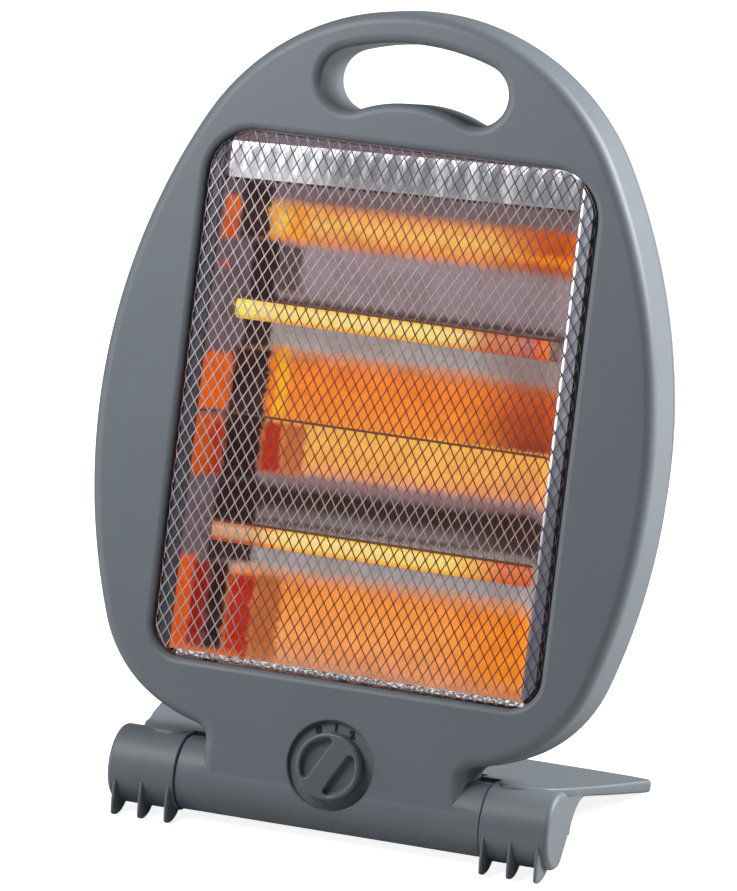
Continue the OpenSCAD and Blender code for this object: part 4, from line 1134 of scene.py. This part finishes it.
def makeEnd(name, side):
    line, low, high = bentLine(ends["path"], ends["bend"], ends["sheet"]), ends["low"], ends["high"]
    sheet = ringed("end" + name, [[(side * p.x, p.y, z) for p in line] for z in (low, high)])
    y, thin = ends["flangeY"], ends["sheet"] / 2
    left, right = sorted(side * x for x in ends["flangeX"])
    join(sheet, block("flange", (left, y - thin, low), (right, y + thin, high)))
    front = deep("front", window(-ends["windowIn"]), ends["front"], y - ends["frontGap"])
    common(sheet, join(front, deep("behind", egg(-ends["shellIn"]), y - thin, 60)))
    inner, outer = ends["holeX"]
    holes = [rodX("hole", side * inner, side * outer, ends["hole"], (tubeLook["y"], z), 48)
             for z in tubeLook["heights"]]
    holes += [rodY("screwHole", y - 1, y + 1, ends["screwR"], (side * ends["screwX"], z), 24)
              for z in ends["screws"]]
    cut(sheet, *holes)
    settle(sheet, "heater", "endSheet", ["reflector_end_" + name.lower()], sharp=30)


lip = {"path": [(-9.5, 58.1), (-14.7, 58.1), (-15.1, 60.4)], "bend": [0.5], "ends": (-86, 92), "thick": 0.5,
       "colours": [(120, 118, 122), (220, 220, 224)], "glow": [(60, 56, 58), (236, 234, 236)],
       "strength": 0.6, "roughness": 0.35}


# The lip's bright look is painted light: glints in its emission, picked by its grain
def makeLip():  # a bright folded edge at the window's foot
    metal = finishOf("lipSheet", Metallic=0.8, Emission_Strength=lip["strength"])
    grain = metal.noise(1.2, 3, 0.7, (1.5, 1, 1)).above(0.52, 0.2)
    metal.feed(metal.shader, {
        "Base Color": metal.between(grain, lip["colours"]), "Roughness": lip["roughness"],
        "Emission Color": metal.between(grain, lip["glow"])})
    edge = prism("footLip", bentLine(lip["path"], lip["bend"], lip["thick"]), *lip["ends"])
    settle(edge, "heater", "lipSheet", sharp=30)


makeLip()
makeEnd("Left", -1)
makeEnd("Right", 1)

coil = {"turns": 92, "half": 66, "radius": 3.1, "wire": 0.62, "lead": 3, "tail": 102, "perTurn": 12,
        "sides": 6}


def coilRings(height):  # the wound wire's cross-sections, with a straight tail at each end
    half, perTurn, count = coil["half"], coil["perTurn"], coil["turns"] * coil["perTurn"]
    path = [Vector((-coil["tail"], 0, 0)), Vector((-half - coil["lead"], 0, 0))]
    for k in range(count + 1):
        angle = math.tau * k / perTurn
        rise = min(1, k / perTurn, (count - k) / perTurn) * coil["radius"]
        path.append(Vector((half * (2 * k / count - 1), rise * math.cos(angle), rise * math.sin(angle))))
    path += [Vector((half + coil["lead"], 0, 0)), Vector((coil["tail"], 0, 0))]
    turns = [math.tau * b / coil["sides"] for b in range(coil["sides"])]
    rings = []
    for k, point in enumerate(path):
        ahead = (path[min(k + 1, len(path) - 1)] - path[max(k - 1, 0)]).normalized()
        angle = math.tau * min(max(k - 2, 0), count) / perTurn
        spoke = Vector((0, math.cos(angle), math.sin(angle)))
        spoke = (spoke - ahead * spoke.dot(ahead)).normalized()
        other, middle = ahead.cross(spoke), point + Vector((0, tubeLook["y"], height))
        rings.append([tuple(middle + coil["wire"] / 2 * (math.cos(turn) * spoke + math.sin(turn) * other))
                      for turn in turns])
    return rings


def makeTube(place, height):
    outer, end, soft, centre = tubeLook["radius"], tubeLook["half"], tubeLook["soft"], (tubeLook["y"], height)
    profile = [(-end, outer - soft), (soft - end, outer), (end - soft, outer), (end, outer - soft)]
    tube = turnedX("quartzTube" + place, profile, centre, 64)
    cut(tube, rodX("bore", -end - 1, end + 1, outer - tubeLook["wall"], centre, 48))
    settle(tube, "heater", "quartz" + place, ["quartz_tube_" + place.lower()])
    settle(ringed("heatingCoil" + place, coilRings(height)), "heater", "coilHeat",
           ["heating_coil_" + place.lower()], sharp=70)


for place, height in zip(("Upper", "Lower"), tubeLook["heights"]):
    makeTube(place, height)
print("tubes and coils made")


# ---- the solids that keep their shape get their finishes

kept = {"turnedSteel": ["pivot_pin_left", "pivot_pin_right", "switch_spindle", "tip_switch_pin",
                        "tip_pendulum"],
        "blackRubber": ["friction_washer_left", "friction_washer_right", "cord_grommet"],
        "blackPlastic": ["barrel_bush_left", "barrel_bush_right", "switch_body", "thermal_cutout",
                         "tip_switch_case"],
        "whitePlastic": ["terminal_block"], "reflectorSheet": ["reflector"],
        "capCeramic": ["tube_caps_upper", "tube_caps_lower"],
        "zincSheet": ["tube_bracket_left", "tube_bracket_right", "switch_nut"],
        "leadSleeve": ["lead_upper", "lead_lower", "lead_link"],
        "darkScrew": ["shell_screws", "reflector_screws"]}
for finish, solids in kept.items():
    for node in solids:
        for slot in frame["nodes"][node].material_slots:
            slot.material = materials[finish].material
print("solids dressed:", sum(len(solids) for solids in kept.values()))


# ---- floor, light and camera

# A lamp is (watts, size, place), in metres
studio = {"floor": 6.0, "floorColour": (192, 192, 192), "floorGlow": 0.88, "world": 0.06,
          "sky": (0.92, 0.95, 1, 1), "lamps": {"key": (54, 0.9, (1.1, 0.7, 0.85)),
                                               "near": (6.9, 0.45, (-0.38, -0.42, 0.8)),
                                               "side": (3.4, 0.5, (-1.05, -0.5, 0.26))}}

floorMesh = bpy.data.meshes.new("floor")
reach = studio["floor"]
corners = [(-reach, -reach, 0), (reach, -reach, 0), (reach, reach, 0), (-reach, reach, 0)]
floorMesh.from_pydata(corners, [], [(0, 1, 2, 3)])
floor = bpy.data.objects.new("floor", floorMesh)
scene.collection.objects.link(floor)
floorFinish = finishOf("paleFloor", Roughness=0.9, Specular_IOR_Level=0.1,
                       Emission_Strength=studio["floorGlow"])
raySight = floorFinish.add("LightPath", out="Is Camera Ray")
floorFinish.feed(floorFinish.shader, {
    "Base Color": rgb(*studio["floorColour"]),
    "Emission Color": floorFinish.between(raySight, [(0, 0, 0), (255, 255, 255)])})
floorMesh.materials.append(floorFinish.material)

# The camera sees a white world, and the object is lit by a dim one
world = bpy.data.worlds.new("studio")
scene.world = world
world.use_nodes = True
nodes, links = world.node_tree.nodes, world.node_tree.links
nodes.clear()
rays = nodes.new("ShaderNodeLightPath")
seen = nodes.new("ShaderNodeBackground")
lit = nodes.new("ShaderNodeBackground")
choose = nodes.new("ShaderNodeMixShader")
output = nodes.new("ShaderNodeOutputWorld")
seen.inputs["Color"].default_value = (1, 1, 1, 1)
lit.inputs["Color"].default_value = studio["sky"]
lit.inputs["Strength"].default_value = studio["world"]
links.new(rays.outputs["Is Camera Ray"], choose.inputs[0])
links.new(lit.outputs[0], choose.inputs[1])
links.new(seen.outputs[0], choose.inputs[2])
links.new(choose.outputs[0], output.inputs["Surface"])


def softLamp(name, power, size, place, target=(0, -0.03, 0.2)):
    lamp = bpy.data.lights.new(name, "AREA")
    lamp.energy, lamp.size, lamp.shape = power, size, "SQUARE"
    holder = bpy.data.objects.new(name, lamp)
    holder.location = place
    holder.rotation_euler = (Vector(target) - Vector(place)).to_track_quat("-Z", "Y").to_euler()
    scene.collection.objects.link(holder)


for name, (power, size, place) in studio["lamps"].items():
    softLamp(name + "Lamp", power, size, place)

view = {"target": (0.0148, -0.0616, 0.2056), "azimuth": 20.09, "elevation": 23.46, "distance": 3.382,
        "focal": 7163.6, "pictureHeight": 891, "sensor": 36}
lens = bpy.data.cameras.new("camera")
lens.sensor_width = view["sensor"]
lens.lens = view["focal"] * view["sensor"] / view["pictureHeight"]
camera = bpy.data.objects.new("camera", lens)
azimuth, elevation = math.radians(view["azimuth"]), math.radians(view["elevation"])
outward = Vector((math.sin(azimuth) * math.cos(elevation), -math.cos(azimuth) * math.cos(elevation),
                  math.sin(elevation)))
camera.location = Vector(view["target"]) + outward * view["distance"]
camera.rotation_euler = (-outward).to_track_quat("-Z", "Y").to_euler()
scene.collection.objects.link(camera)
scene.camera = camera
print("stage, lamps and camera placed")
